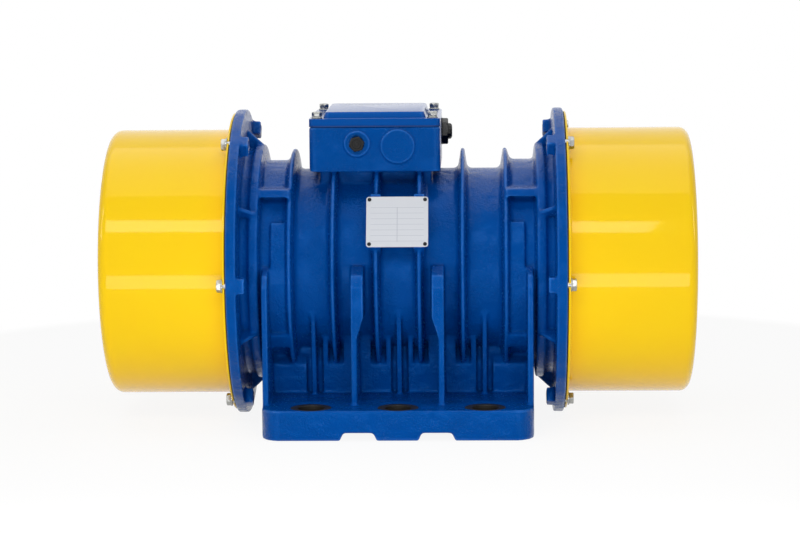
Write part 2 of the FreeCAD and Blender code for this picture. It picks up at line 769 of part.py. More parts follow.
def motor_casing():
    body = new_body("motor_casing")
    add_barrel(body)
    add_feet(body)
    add_skirts(body)
    add_gussets(body)
    add_hole_ribs(body)
    add_end_bays(body)
    add_flange_bosses(body)
    add_terminal_box(body)
    add_plate_seats(body)
    add_cable_entries(body)
    cut_terminal_box(body)
    cut_bolt_holes(body)
    cut_flange_holes(body)
    finish(body, "motor_casing")


# ---------------------------------------------------------------- terminal box

LID_BOLT = 10.0
LID_BOLT_HOLE = 5.5
PANEL_INSET = 5.0
PANEL_CORNER = 31.0
PANEL_SLOPE = 12.0
LID_WALL = 14.0
LID_HOLLOW_CORNER = 26.0
LID_HOLLOW_RISE = 2.0
LID_SEAT = D.box_rim + D.gasket_thick
LID_TOP = LID_SEAT + D.lid_plate
BOX_LEFT = D.box_middle - D.box_length / 2
BOX_RIGHT = D.box_middle + D.box_length / 2
BOX_FRONT = -D.box_width / 2


def lid_bolt_spots(z):
    return [Vector(float(D.box_middle + D.lid_bolt_x * sx), float(D.lid_bolt_y * sy), float(z))
            for sx in SIDES for sy in SIDES]


def box_outline(body, z, thick):
    """A plate with the plan of the terminal box and its rounded corners."""
    plan = sketch_on(body, "XY_Plane", z)
    rectangle(plan, BOX_LEFT, BOX_FRONT, BOX_RIGHT, -BOX_FRONT)
    pad(body, plan, thick)
    round_edges(body, D.box_corner, lambda edge: is_line(edge, UP))


def cut_lid_bolt_holes(body, z, depth):
    holes = sketch_on(body, "XY_Plane", z)
    for sx in SIDES:
        for sy in SIDES:
            circle(holes, D.box_middle + D.lid_bolt_x * sx, D.lid_bolt_y * sy, as_size(LID_BOLT_HOLE))
    pocket(body, holes, depth)


def octagon(sketch, inset, cut):
    """The box plan moved inward, with cut corners that clear the lid bolts."""
    x0 = BOX_LEFT + inset
    x1 = BOX_RIGHT - inset
    y1 = D.box_width / 2 - inset
    outline(sketch, [(x0 + cut, -y1), (x1 - cut, -y1), (x1, -y1 + cut), (x1, y1 - cut),
                     (x1 - cut, y1), (x0 + cut, y1), (x0, y1 - cut), (x0, -y1 + cut)])


def terminal_box_lid():
    body = new_body("terminal_box_lid")
    box_outline(body, LID_SEAT, D.lid_plate)
    panel = sketch_on(body, "XY_Plane", LID_TOP)
    octagon(panel, as_size(PANEL_INSET), as_size(PANEL_CORNER))
    pad(body, panel, D.lid_panel, taper=-PANEL_SLOPE)
    hollow = sketch_on(body, "XY_Plane", LID_SEAT)
    octagon(hollow, as_size(LID_WALL), as_size(LID_HOLLOW_CORNER))
    pocket(body, hollow, D.lid_plate + LID_HOLLOW_RISE, reverse=True)
    cut_lid_bolt_holes(body, LID_TOP, D.lid_plate)
    finish(body, "terminal_box_lid")


def terminal_box_gasket():
    body = new_body("terminal_box_gasket")
    box_outline(body, D.box_rim, D.gasket_thick)
    opening = sketch_on(body, "XY_Plane", LID_SEAT)
    octagon(opening, D.box_wall, as_size(POST))
    pocket(body, opening, D.gasket_thick)
    cut_lid_bolt_holes(body, LID_SEAT, D.gasket_thick)
    finish(body, "terminal_box_gasket")


M10_HEAD = 6.4
M10_FLATS = 16.0
M10_WASHER = 10.0
M10_WASHER_HOLE = 5.2
WASHER_THICK = 2.0
LID_BOLT_LONG = 34.0


def lid_fasteners():
    """The four bolts of the lid and their washers."""
    screw = hex_screw(LID_BOLT, M10_HEAD, M10_FLATS, LID_BOLT_LONG)
    ring = washer(M10_WASHER, M10_WASHER_HOLE, WASHER_THICK)
    group("lid_bolt_washers", [aim(ring, spot, UP) for spot in lid_bolt_spots(LID_TOP)])
    group("lid_bolts", [aim(screw, spot, UP) for spot in lid_bolt_spots(LID_TOP + WASHER_THICK)])


BOARD_LENGTH = 96.0
BOARD_WIDTH = 56.0
BOARD_THICK = 16.0
STUD_PITCH = 30.0
STUD_SPREAD = 28.0
STUD_RAD = 4.0
BOARD_SHIFT = 6.0
STUD_PROUD = 14.0
LINK_THICK = 2.0
LINK_WIDE = 12.0
STUD_NUT = 13.0
STUD_NUT_TALL = 6.5


def stud_spots(z):
    """The six studs, in pairs across the board."""
    return [Vector(float(D.box_middle) + STUD_PITCH * i, STUD_SPREAD / 2 * side - BOARD_SHIFT, float(z))
            for i in (-1, 0, 1) for side in SIDES]


def terminal_board():
    """The insulating board with its studs, nuts and links."""
    floor = D.box_floor + D.box_base
    body = new_body("terminal_block")
    plan = sketch_on(body, "XY_Plane", floor)
    rectangle(plan, D.box_middle - BOARD_LENGTH / 2, as_size(-BOARD_WIDTH / 2 - BOARD_SHIFT),
              D.box_middle + BOARD_LENGTH / 2, as_size(BOARD_WIDTH / 2 - BOARD_SHIFT))
    pad(body, plan, as_size(BOARD_THICK))
    holes = sketch_on(body, "XY_Plane", floor + BOARD_THICK)
    for spot in stud_spots(0):
        circle(holes, as_size(spot.x), as_size(spot.y), as_size(STUD_RAD))
    pocket(body, holes, BOARD_THICK)
    finish(body, "terminal_block")
    top = float(floor) + BOARD_THICK
    stud = Part.makeCylinder(STUD_RAD, BOARD_THICK + STUD_PROUD)
    group("terminal_studs", [aim(stud, spot, UP) for spot in stud_spots(floor)])
    links = []
    for spot in stud_spots(top)[1::2]:
        corner = spot - Vector(LINK_WIDE / 2, LINK_WIDE / 2, 0)
        bar = Part.makeBox(LINK_WIDE, STUD_SPREAD + LINK_WIDE, LINK_THICK, corner)
        for place_y in (0, STUD_SPREAD):
            bar = bar.cut(Part.makeCylinder(STUD_RAD, LINK_THICK, spot + Vector(0, place_y, 0)))
        links.append(bar)
    group("terminal_links", links)
    nut = hex_prism(STUD_NUT, STUD_NUT_TALL).cut(Part.makeCylinder(STUD_RAD, STUD_NUT_TALL))
    group("terminal_nuts", [aim(nut, spot, UP) for spot in stud_spots(top + LINK_THICK)])


M8_HEAD = 5.3
M8_FLATS = 13.0
EARTH_LONG = 8.0


def earth_screw():
    spot = Vector(EARTH_PLACE[0], EARTH_PLACE[1], float(D.box_floor + D.box_base))
    group("earth_screw", [aim(hex_screw(EARTH_TAP * 2, M8_HEAD, M8_FLATS, EARTH_LONG), spot, UP)])


THREAD_IN = 8.0
PLUG_HEAD = 7.0
PLUG_REACH = 11.5


def front_entry_plug():
    """The hexagon plug that closes the front cable entry."""
    body = new_body("front_entry_plug")
    thread = sketch_on(body, "XZ_Plane", D.box_width / 2 - THREAD_IN)
    circle(thread, D.entry_place, D.entry_height, as_size(PLUG_RAD))
    pad(body, thread, as_size(THREAD_IN + PLUG_PROUD))
    head = sketch_on(body, "XZ_Plane", D.box_width / 2 + PLUG_PROUD)
    corners = [math.radians(60 * i) for i in range(6)]
    outline(head, [(D.entry_place + PLUG_REACH * math.cos(a), D.entry_height + PLUG_REACH * math.sin(a))
                   for a in corners])
    pad(body, head, as_size(PLUG_HEAD))
    finish(body, "front_entry_plug")


GLAND_BORE = 8.0
GLAND_COLLAR = 20.0
COLLAR_LONG = 10.0
GLAND_THREAD = 12.0
NUT_RAD = 12.0
NUT_LONG = 6.0
SEAL_IN = 6.0
CABLE_RAD = 6.5


def side_ring(body, start, length, radius, bore):
    """A ring about the side gland's axis, outward from the box."""
    outer = sketch_on(body, "YZ_Plane", start)
    circle(outer, D.gland_depth, D.gland_height, as_size(radius))
    pad(body, outer, length)
    inner = sketch_on(body, "YZ_Plane", start)
    circle(inner, D.gland_depth, D.gland_height, as_size(bore))
    pocket(body, inner, length, reverse=True)


def cable_gland():
    """The side gland: threaded body, clamping nut and rubber seal with a clear cable hole."""
    shell = new_body("cable_gland_body")
    collar = sketch_on(shell, "YZ_Plane", BOX_RIGHT)
    circle(collar, D.gland_depth, D.gland_height, as_size(GLAND_COLLAR))
    pad(shell, collar, as_size(COLLAR_LONG))
    side_ring(shell, BOX_RIGHT - GLAND_THREAD, as_size(GLAND_THREAD + COLLAR_LONG), GLAND_RAD, GLAND_BORE)
    finish(shell, "cable_gland_body")
    nut = new_body("cable_gland_nut")
    side_ring(nut, BOX_RIGHT + COLLAR_LONG, as_size(NUT_LONG), NUT_RAD, CABLE_RAD)
    finish(nut, "cable_gland_nut")
    seal = new_body("cable_gland_seal")
    side_ring(seal, BOX_RIGHT - SEAL_IN, as_size(SEAL_IN + COLLAR_LONG), GLAND_BORE, CABLE_RAD)
    finish(seal, "cable_gland_seal")


# ---------------------------------------------------------------- nameplate

PLATE_THICK = 1.2
PLATE_CORNER = 4.0
RIVET_INSET = 4.5
RIVET_BALL = 3.2


def nameplate():
    body = new_body("nameplate")
    face = tilted_sketch(body, D.plate_seat)
    rectangle(face, -D.plate_length / 2, -D.plate_height / 2, D.plate_length / 2, D.plate_height / 2)
    pad(body, face, as_size(PLATE_THICK))
    out = Vector(0, -math.cos(math.radians(float(D.plate_tilt))), math.sin(math.radians(float(D.plate_tilt))))
    round_edges(body, as_size(PLATE_CORNER), lambda edge: is_line(edge, out))
    finish(body, "nameplate")
    up = out.cross(Vector(1, 0, 0)).negative()
    reach_x = float(D.plate_length) / 2 - RIVET_INSET
    reach_y = float(D.plate_height) / 2 - RIVET_INSET
    ball = Part.makeSphere(RIVET_BALL, Vector(0, 0, -RIVET_BALL / 2))
    head = ball.common(Part.makeCylinder(RIVET_BALL, RIVET_BALL))
    middle = out * (float(D.plate_seat) + PLATE_THICK)
    spots = [middle + Vector(reach_x * sx, 0, 0) + up * (reach_y * sy) for sx in SIDES for sy in SIDES]
    group("nameplate_rivets", [aim(head, spot, out) for spot in spots])


# ---------------------------------------------------------------- motor inside the barrel

SLOTS = 24
SLOT_CIRCLE = 100.5
BARS = 28
BAR_CIRCLE = 76.0
CORE_BORE = 46.0
SLOT_RAD = 6.0
WIRE_RAD = 5.7
BAR_RAD = 4.0
AIR_GAP = 1.0
BAR_OVERLAP = 2.0


def add_round_bars(body, circle_rad, radius, half, count):
    sketch = sketch_on(body, "YZ_Plane")
    circle(sketch, as_size(circle_rad), ZERO, as_size(radius))
    bar = pad(body, sketch, half * 2, middle=True)
    ring_pattern(body, [bar], count)


def cut_round_slots(body, circle_rad, radius, count):
    sketch = sketch_on(body, "YZ_Plane", D.core_half)
    circle(sketch, as_size(circle_rad), ZERO, as_size(radius))
    slot = pocket(body, sketch, D.core_half * 2)
    ring_pattern(body, [slot], count)


def core(label, inner, outer, slot_circle, slot_rad, count):
    """A laminated steel core with round slots."""
    body = new_body(label)
    sketch = sketch_on(body, "XZ_Plane")
    outline(sketch, tube_points(-D.core_half, D.core_half, inner, outer))
    revolve(body, sketch)
    cut_round_slots(body, slot_circle, slot_rad, count)
    finish(body, label)


def wound_rings(label, inner, outer, length, bar_circle, bar_rad, count):
    """Two end rings joined by bars that run through the core's slots."""
    body = new_body(label)
    sketch = sketch_on(body, "XZ_Plane")
    for end in SIDES:
        outline(sketch, tube_points(D.core_half * end, (D.core_half + length) * end,
                                    as_size(inner), as_size(outer)))
    revolve(body, sketch)
    add_round_bars(body, bar_circle, bar_rad, D.core_half + BAR_OVERLAP, count)
    finish(body, label)


def electric_parts():
    """The stator and the squirrel-cage rotor; each ring is given by its two radii and its length."""
    core("stator_core", D.rotor_rad + AIR_GAP, D.stator_rad, SLOT_CIRCLE, SLOT_RAD, SLOTS)
    wound_rings("stator_windings", 90, 115, 36, SLOT_CIRCLE, WIRE_RAD, SLOTS)
    core("rotor_core", as_size(CORE_BORE), D.rotor_rad, BAR_CIRCLE, BAR_RAD, BARS)
    wound_rings("rotor_cage", 58, 82, 14, BAR_CIRCLE, BAR_RAD, BARS)


JOURNAL_START = 190.0
CORE_SEAT = 50.0
JOURNAL_STEP = 4.0
KEY_START = 3.0
RING_GROOVE = 3.0
SHAFT_BEVEL = 2.0
KEY_WIDE = 20.0
KEY_LONG = 56.0
KEY_TOP = 40.0
KEY_LOW = 27.5
RING_START = 399.0
RING_THICK = 2.8
RING_DEEP = 2.0
SHAFT_HALF = 408.0


def shaft():
    body = new_body("shaft")
    sketch = sketch_on(body, "XZ_Plane")
    journal = as_size(JOURNAL_START)
    groove = as_size(RING_START)
    half = [(journal - CORE_SEAT, as_size(CORE_BORE)), (journal - CORE_SEAT, D.bearing_bore + JOURNAL_STEP),
            (journal, D.bearing_bore + JOURNAL_STEP), (journal, D.bearing_bore),
            (D.weight_start, D.bearing_bore), (D.weight_start, D.journal_seat),
            (groove, D.journal_seat), (groove, D.journal_seat - RING_DEEP),
            (groove + RING_GROOVE, D.journal_seat - RING_DEEP), (groove + RING_GROOVE, D.journal_seat),
            (as_size(SHAFT_HALF - SHAFT_BEVEL), D.journal_seat),
            (as_size(SHAFT_HALF), D.journal_seat - SHAFT_BEVEL), (as_size(SHAFT_HALF), ZERO)]
    outline(sketch, mirrored(half))
    revolve(body, sketch)
    keyways = sketch_on(body, "XY_Plane", as_size(KEY_TOP))
    for end in SIDES:
        start = (D.weight_start + KEY_START) * end
        stop = (D.weight_start + KEY_START + KEY_LONG) * end
        rectangle(keyways, start, as_size(-KEY_WIDE / 2), stop, as_size(KEY_WIDE / 2))
    pocket(body, keyways, KEY_TOP - KEY_LOW)
    finish(body, "shaft")


# ---------------------------------------------------------------- one shaft end, drawn for the right

ROLLERS = 14
ROLLER_HALF = 19.0
TRACK_GAP = 10.5
LIP = 2.5
LIP_WIDE = 6.0
CAGE_HALF = 6.0
CAGE_BAR = 5.0
CAGE_BAR_TALL = 9.0
GASKET = 1.5
HOUSING_FACE = 12.0
HOUSING_LIP = 7.0
HOUSING_LIP_TALL = 11.0
HOUSING_WEB = 18.0
HOUSING_RIM = 12.0
HOUSING_NOSE = 23.0
END_PLAY = 1.0
COVER_BOLTS = 6
COVER_BOLT = 8.0
COVER_CIRCLE = 96.0
COVER_THICK = 8.0
COVER_REACH = 19.0
COVER_TAP = 18.0
COVER_GAP = 0.6
SPACER_RAD = 50.0


def bearing_housing(name, side):
    """End shield with the roller bearing's seat, spigoted into the casing."""
    body = new_body(name)
    start = D.bearing_start
    stop = D.bearing_start + D.bearing_wide + END_PLAY
    inner = start - HOUSING_LIP
    face = D.flange_face + HOUSING_FACE
    web = D.flange_face - HOUSING_WEB
    nose = D.bearing_out + HOUSING_NOSE
    rim = D.spigot_rad - HOUSING_RIM
    lip = D.bearing_out - HOUSING_LIP_TALL
    sketch = sketch_on(body, "XZ_Plane")
    outline(sketch, [(inner, lip), (start, lip), (start, D.bearing_out),
                     (stop, D.bearing_out), (stop, nose), (face, nose + 2),
                     (face, D.neck_rad), (D.flange_face, D.neck_rad),
                     (D.flange_face, D.spigot_rad), (start + 1, D.spigot_rad), (start + 1, rim),
                     (web, rim - 4), (web, nose - 2), (inner, nose - 4)])
    revolve(body, sketch)
    holes = sketch_on(body, "YZ_Plane", face)
    spot = around_shaft(0, HOUSING_CIRCLE, HOUSING_TURN)
    circle(holes, as_size(spot.y), as_size(spot.z), as_size(HOUSING_BOLT / 2))
    drilled = pocket(body, holes, as_size(HOUSING_FACE))
    ring_pattern(body, [drilled], HOUSING_BOLTS)
    taps = sketch_on(body, "YZ_Plane", stop)
    spot = around_shaft(0, COVER_CIRCLE, 0)
    circle(taps, as_size(spot.y), as_size(spot.z), as_size(COVER_BOLT / 2))
    tapped = pocket(body, taps, as_size(COVER_TAP))
    ring_pattern(body, [tapped], COVER_BOLTS)
    finish(body, name, side)


def bearing_cover(name, side):
    """Outer cover that holds the bearing's outer race and runs close to the spacer."""
    body = new_body(name)
    start = D.bearing_start + D.bearing_wide + END_PLAY
    sketch = sketch_on(body, "XZ_Plane")
    outline(sketch, tube_points(start, start + COVER_THICK, as_size(SPACER_RAD + COVER_GAP),
                                D.bearing_out + COVER_REACH))
    revolve(body, sketch)
    holes = sketch_on(body, "YZ_Plane", start + COVER_THICK)
    spot = around_shaft(0, COVER_CIRCLE, 0)
    circle(holes, as_size(spot.y), as_size(spot.z), as_size(COVER_BOLT / 2))
    drilled = pocket(body, holes, as_size(COVER_THICK))
    ring_pattern(body, [drilled], COVER_BOLTS)
    finish(body, name, side)


def bearing(name, side):
    """A cylindrical roller bearing: two races, the rollers and their cage."""
    start = D.bearing_start
    stop = start + D.bearing_wide
    outer_track = D.roller_circle + TRACK_GAP
    inner_track = D.roller_circle - TRACK_GAP
    lip = outer_track - LIP
    turned_piece(name + "_outer_race", [
        (start, lip), (start + LIP_WIDE, lip), (start + LIP_WIDE, outer_track),
        (stop - LIP_WIDE, outer_track), (stop - LIP_WIDE, lip), (stop, lip),
        (stop, D.bearing_out), (start, D.bearing_out)], side)
    turned_piece(name + "_inner_race", tube_points(start, stop, D.bearing_bore, inner_track), side)
    middle = (start + stop) / 2
    roller = Part.makeCylinder(float(D.roller_rad), ROLLER_HALF * 2)
    step = 360 / ROLLERS
    spots = [around_shaft(middle - ROLLER_HALF, D.roller_circle, step * i) for i in range(ROLLERS)]
    group(name + "_rollers", [aim(roller, spot, OUT) for spot in spots], side)
    cage = new_body(name + "_cage")
    rims = sketch_on(cage, "XZ_Plane")
    for end in SIDES:
        near = ROLLER_HALF + END_PLAY
        outline(rims, tube_points(middle + near * end, middle + (near + CAGE_HALF) * end,
                                  D.roller_circle - CAGE_HALF, D.roller_circle + CAGE_HALF))
    revolve(cage, rims)
    bar = sketch_on(cage, "XY_Plane", D.roller_circle - CAGE_BAR_TALL / 2)
    reach = ROLLER_HALF + END_PLAY * 2
    rectangle(bar, middle - reach, as_size(-CAGE_BAR / 2), middle + reach, as_size(CAGE_BAR / 2))
    strut = pad(cage, bar, as_size(CAGE_BAR_TALL))
    ring_pattern(cage, [strut], ROLLERS)
    finish(cage, name + "_cage", side)


def along_shaft(radius, length, start, sweep=360):
    """A cylinder about the shaft, or a sector of one hanging straight down."""
    item = DOC.addObject("Part::Cylinder", "Round")
    bind(item, Radius=radius, Height=length)
    item.Angle = float(sweep)
    hang = Rotation(Vector(1, 0, 0), -float(sweep) / 2)
    return place(item, x=start, turn=hang.multiply(Rotation(Vector(0, 1, 0), 90)))


def box_part(x, y, z, length, width, height):
    item = DOC.addObject("Part::Box", "Block")
    bind(item, Length=length, Width=width, Height=height)
    return place(item, x=x, y=y, z=z)


def fuse(items):
    result = DOC.addObject("Part::MultiFuse", "Fused")
    result.Shapes = items
    return result


def cut(base, tools):
    """Remove one or more tools from a solid."""
    result = DOC.addObject("Part::Cut", "Cut")
    result.Base = base
    result.Tool = fuse(tools) if len(tools) > 1 else tools[0]
    return result


HUB_RAD = 60.0
CLAMP_WIDE = 60.0
CLAMP_TOP = 96.0
CLAMP_BOLT = 20.0
CLAMP_HEIGHT = 74.0
SLIT = 4.0
CLAMP_PLAY = 0.05
CLAMP_HEAD = 12.5
CLAMP_FLATS = 30.0


def fixed_weight(name, side):
    """The eccentric weight keyed to the shaft."""
    hub = along_shaft(as_size(HUB_RAD), D.weight_thick, D.weight_start)
    lobe = along_shaft(D.weight_rad, D.weight_thick, D.weight_start, D.weight_sweep)
    bore = along_shaft(D.journal_seat, D.weight_thick, D.weight_start)
    keyway = box_part(D.weight_start + KEY_START, as_size(-KEY_WIDE / 2), ZERO,
                      as_size(KEY_LONG), as_size(KEY_WIDE), as_size(KEY_TOP))
    finish(cut(fuse([hub, lobe]), [bore, keyway]), name, side)


def weight_key(name, side):
    """The parallel key between the shaft and the fixed weight."""
    body = new_body(name)
    plan = sketch_on(body, "XY_Plane", as_size(KEY_LOW))
    start = D.weight_start + KEY_START
    rectangle(plan, start, as_size(-KEY_WIDE / 2), start + KEY_LONG, as_size(KEY_WIDE / 2))
    pad(body, plan, as_size(KEY_TOP - KEY_LOW))
    finish(body, name, side)


def adjustable_weight(name, side):
    """The eccentric weight that is clamped to the shaft at a chosen angle."""
    start = D.weight_start + D.weight_thick + D.weight_gap
    hub = along_shaft(as_size(HUB_RAD), D.weight_thick, start)
    lobe = along_shaft(D.weight_rad, D.weight_thick, start, D.weight_sweep)
    lug = box_part(start, as_size(-CLAMP_WIDE / 2), as_size(HUB_RAD / 2), D.weight_thick, as_size(CLAMP_WIDE),
                   as_size(CLAMP_TOP - HUB_RAD / 2))
    bore = along_shaft(D.journal_seat + CLAMP_PLAY, D.weight_thick, start)
    slit = box_part(start, as_size(-SLIT / 2), ZERO, D.weight_thick, as_size(SLIT), as_size(CLAMP_TOP))
    hole = DOC.addObject("Part::Cylinder", "Round")
    bind(hole, Radius=as_size(CLAMP_BOLT / 2), Height=as_size(CLAMP_WIDE))
    place(hole, x=start + D.weight_thick / 2, y=as_size(-CLAMP_WIDE / 2), z=as_size(CLAMP_HEIGHT),
          turn=Rotation(Vector(1, 0, 0), -90))
    finish(cut(fuse([hub, lobe, lug]), [bore, slit, hole]), name, side)


def weight_clamp_bolt(name, side):
    middle = D.weight_start + D.weight_thick * 1.5 + D.weight_gap
    spot = Vector(float(middle), CLAMP_WIDE / 2, CLAMP_HEIGHT)
    bolt = hex_screw(CLAMP_BOLT, CLAMP_HEAD, CLAMP_FLATS, CLAMP_WIDE)
    group(name, [aim(bolt, spot, Vector(0, 1, 0))], side)


RIM_BEND = 5.0
SCREW_PLAY = 0.5


def end_cap(name, side):
    """Drawn sheet cap with a bolted rim, over the weights."""
    body = new_body(name)
    rim = D.flange_face + GASKET
    sheet = D.cap_sheet
    sketch = sketch_on(body, "XZ_Plane")
    outline(sketch, [(rim, D.cap_rad - sheet), (rim, D.cap_rim), (rim + sheet, D.cap_rim),
                     (rim + sheet, D.cap_rad), (D.cap_end, D.cap_rad), (D.cap_end, ZERO),
                     (D.cap_end - sheet, ZERO), (D.cap_end - sheet, D.cap_rad - sheet)])
    revolve(body, sketch)
    for place_x, radius, bend in ((D.cap_end, D.cap_rad, D.cap_round),
                                  (D.cap_end - sheet, D.cap_rad - sheet, D.cap_round - sheet),
                                  (rim + sheet, D.cap_rad, as_size(RIM_BEND))):
        def corner(edge, at=place_x, about=radius):
            round_one = edge.Curve.TypeId == "Part::GeomCircle" and abs(edge.Curve.Radius - float(about)) < 0.01
            return round_one and abs(edge.CenterOfMass.x - float(at)) < 0.01

        round_edges(body, bend, corner)
    holes = sketch_on(body, "YZ_Plane", rim + sheet)
    for spot in cap_screw_spots(0, side):
        circle(holes, as_size(spot.y), as_size(spot.z), as_size(CAP_SCREW / 2 + SCREW_PLAY))
    pocket(body, holes, sheet)
    finish(body, name, side)


def cap_gasket(name, side):
    body = new_body(name)
    sketch = sketch_on(body, "XZ_Plane")
    outline(sketch, tube_points(D.flange_face, D.flange_face + GASKET, D.cap_rad - D.cap_sheet, D.cap_rim - 1))
    revolve(body, sketch)
    holes = sketch_on(body, "YZ_Plane", D.flange_face + GASKET)
    for spot in cap_screw_spots(0, side):
        circle(holes, as_size(spot.y), as_size(spot.z), as_size(CAP_SCREW / 2 + SCREW_PLAY))
    pocket(body, holes, GASKET)
    finish(body, name, side)


def both_ends(shapes):
    """Copies of right-hand shapes with their left-hand twins."""
    twins = []
    for shape in shapes:
        twin = shape.copy()
        twin.rotate(Vector(0, 0, 0), UP, 180)
        twins.append(twin)
    return list(shapes) + twins


CAP_SCREW_LONG = 30.0
M12_HEAD = 7.5
M12_FLATS = 18.0
HOUSING_BOLT_LONG = 32.0
COVER_BOLT_LONG = 22.0


def end_fasteners():
    """Screws that repeat at both ends, each kind as one group."""
    rim = float(D.flange_face + GASKET + D.cap_sheet)
    ring = washer(M10_WASHER, M10_WASHER_HOLE, WASHER_THICK)
    screw = hex_screw(CAP_SCREW, M10_HEAD, M10_FLATS, CAP_SCREW_LONG)
    rings = []
    screws = []
    for end in SIDES:
        rings += [aim(ring, spot, OUT * end) for spot in cap_screw_spots(rim * end)]
        screws += [aim(screw, spot, OUT * end) for spot in cap_screw_spots((rim + WASHER_THICK) * end)]
    group("cap_screw_washers", rings)
    group("cap_screws", screws)
    face = float(D.flange_face) + HOUSING_FACE
    step = 360 / HOUSING_BOLTS
    screw = hex_screw(HOUSING_BOLT, M12_HEAD, M12_FLATS, HOUSING_BOLT_LONG)
    spots = [around_shaft(face, HOUSING_CIRCLE, HOUSING_TURN + step * i) for i in range(HOUSING_BOLTS)]
    group("housing_bolts", both_ends([aim(screw, spot, OUT) for spot in spots]))
    face = float(D.bearing_start + D.bearing_wide) + END_PLAY + COVER_THICK
    step = 360 / COVER_BOLTS
    screw = hex_screw(COVER_BOLT, M8_HEAD, M8_FLATS, COVER_BOLT_LONG)
    spots = [around_shaft(face, COVER_CIRCLE, step * i) for i in range(COVER_BOLTS)]
    group("cover_bolts", both_ends([aim(screw, spot, OUT) for spot in spots]))


SEAL_LONG = 5.0
SEAL_LIP = 10.0
RING_RISE = 6.0


def shaft_end(name, side):
    """Everything on one end of the shaft, from the bearing to the cap."""
    bearing_housing(name + "_bearing_housing", side)
    bearing(name + "_bearing", side)
    bearing_cover(name + "_bearing_cover", side)
    bearing_end = D.bearing_start + D.bearing_wide
    spacer = tube_points(bearing_end, D.weight_start, D.bearing_bore, as_size(SPACER_RAD))
    turned_piece(name + "_spacer_ring", spacer, side)
    seal_start = bearing_end + COVER_THICK + END_PLAY * 2
    seal = tube_points(seal_start, seal_start + SEAL_LONG, as_size(SPACER_RAD), as_size(SPACER_RAD + SEAL_LIP))
    turned_piece(name + "_grease_seal", seal, side)
    fixed_weight(name + "_fixed_weight", side)
    weight_key(name + "_weight_key", side)
    adjustable_weight(name + "_adjustable_weight", side)
    weight_clamp_bolt(name + "_weight_clamp_bolt", side)
    ring = tube_points(as_size(RING_START), as_size(RING_START + RING_THICK),
                       D.journal_seat - RING_DEEP, D.journal_seat + RING_RISE)
    turned_piece(name + "_shaft_ring", ring, side)
    cap_gasket(name + "_cap_gasket", side)
    end_cap(name + "_end_cap", side)


# ---------------------------------------------------------------- build and write

def build():
    motor_casing()
    terminal_box_lid()
    terminal_box_gasket()
    lid_fasteners()
    terminal_board()
    earth_screw()
    front_entry_plug()
    cable_gland()
    nameplate()
    electric_parts()
    shaft()
    for name, side in (("right", 1), ("left", -1)):
        shaft_end(name, side)
    end_fasteners()


def check():
    """Stop before writing if any feature failed or any piece is not a sound solid."""
    DOC.recompute()
    for item in DOC.Objects:
        if "Invalid" in item.State or "Error" in item.State:
            raise RuntimeError("%s failed: %s" % (item.Name, item.State))
    for node in NODES:
        if node.Shape.isNull() or not node.Shape.isValid() or not node.Shape.Solids:
            raise RuntimeError("%s has no sound shape" % node.Label)


def write():
    os.makedirs("parts", exist_ok=True)
    for node in NODES:
        node.Shape.exportStep("parts/%s.step" % node.Label)
        print("%-26s %2d solids %9.1f cm3" % (node.Label, len(node.Shape.Solids), node.Shape.Volume / 1000))


build()
check()
write()
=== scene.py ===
import json
import math

import bmesh
import bpy
from bpy.props import (
    FloatProperty,
    FloatVectorProperty,
    IntProperty,
    PointerProperty,
)
from mathutils import Matrix, Quaternion, Vector


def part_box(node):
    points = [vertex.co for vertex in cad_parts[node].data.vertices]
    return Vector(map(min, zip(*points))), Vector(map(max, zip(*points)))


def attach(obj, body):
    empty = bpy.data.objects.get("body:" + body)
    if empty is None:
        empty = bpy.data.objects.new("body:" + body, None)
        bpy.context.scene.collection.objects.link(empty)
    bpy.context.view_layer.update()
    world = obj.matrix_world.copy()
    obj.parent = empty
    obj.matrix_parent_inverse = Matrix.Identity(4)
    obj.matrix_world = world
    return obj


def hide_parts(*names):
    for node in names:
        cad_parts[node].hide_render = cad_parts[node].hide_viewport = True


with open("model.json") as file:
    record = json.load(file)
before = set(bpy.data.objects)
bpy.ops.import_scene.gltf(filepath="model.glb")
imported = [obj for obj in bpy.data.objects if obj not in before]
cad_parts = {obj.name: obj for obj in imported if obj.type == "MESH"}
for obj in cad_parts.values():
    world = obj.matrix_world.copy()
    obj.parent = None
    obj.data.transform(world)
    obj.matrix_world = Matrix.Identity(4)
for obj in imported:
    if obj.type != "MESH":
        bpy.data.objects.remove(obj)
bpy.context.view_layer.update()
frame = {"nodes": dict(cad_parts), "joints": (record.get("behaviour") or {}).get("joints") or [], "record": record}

bl_info = {
    "name": "Vibration motor dressing",
    "version": (1, 0, 0),
    "blender": (4, 5, 0),
    "location": "3D Viewport > Sidebar > Motor",
    "description": "Castings, drawn caps, fasteners and finishes of a foot-mounted vibration motor",
    "category": "Object",
}

MM = 0.001
MERGE = 1e-6
SEAM_MERGE = 1e-7
ENDS = {"right": 1, "left": -1}
FRONT = (0, -1, 0)
RIGHT = (1, 0, 0)
AXIS_HEIGHT = next(joint["pos_m"][2] for joint in frame["joints"] if joint["name"] == "rotor_spin")
AXIS = Vector((0, 0, AXIS_HEIGHT))


# ---------------------------------------------------------------- colours and nodes

NOISE = "ShaderNodeTexNoise"
RANGE = "ShaderNodeMapRange"
BUMP = "ShaderNodeBump"
MATH = "ShaderNodeMath"
MIX = "ShaderNodeMix"
MIX_SHARE, MIX_FIRST, MIX_SECOND = 0, 6, 7
# most of a noise's values lie between these two
NOISE_LOW, NOISE_HIGH = 0.3, 0.7


def srgb(code):
    """Linear colour with full alpha from an sRGB hex code."""
    parts = [int(code[i:i + 2], 16) / 255 for i in (1, 3, 5)]
    linear = [p / 12.92 if p <= 0.04045 else ((p + 0.055) / 1.055) ** 2.4 for p in parts]
    return (*linear, 1.0)


def shaded(colour, share):
    """A linear colour darkened or lightened to a share of itself."""
    return tuple(c * share for c in colour[:3]) + (1.0,)


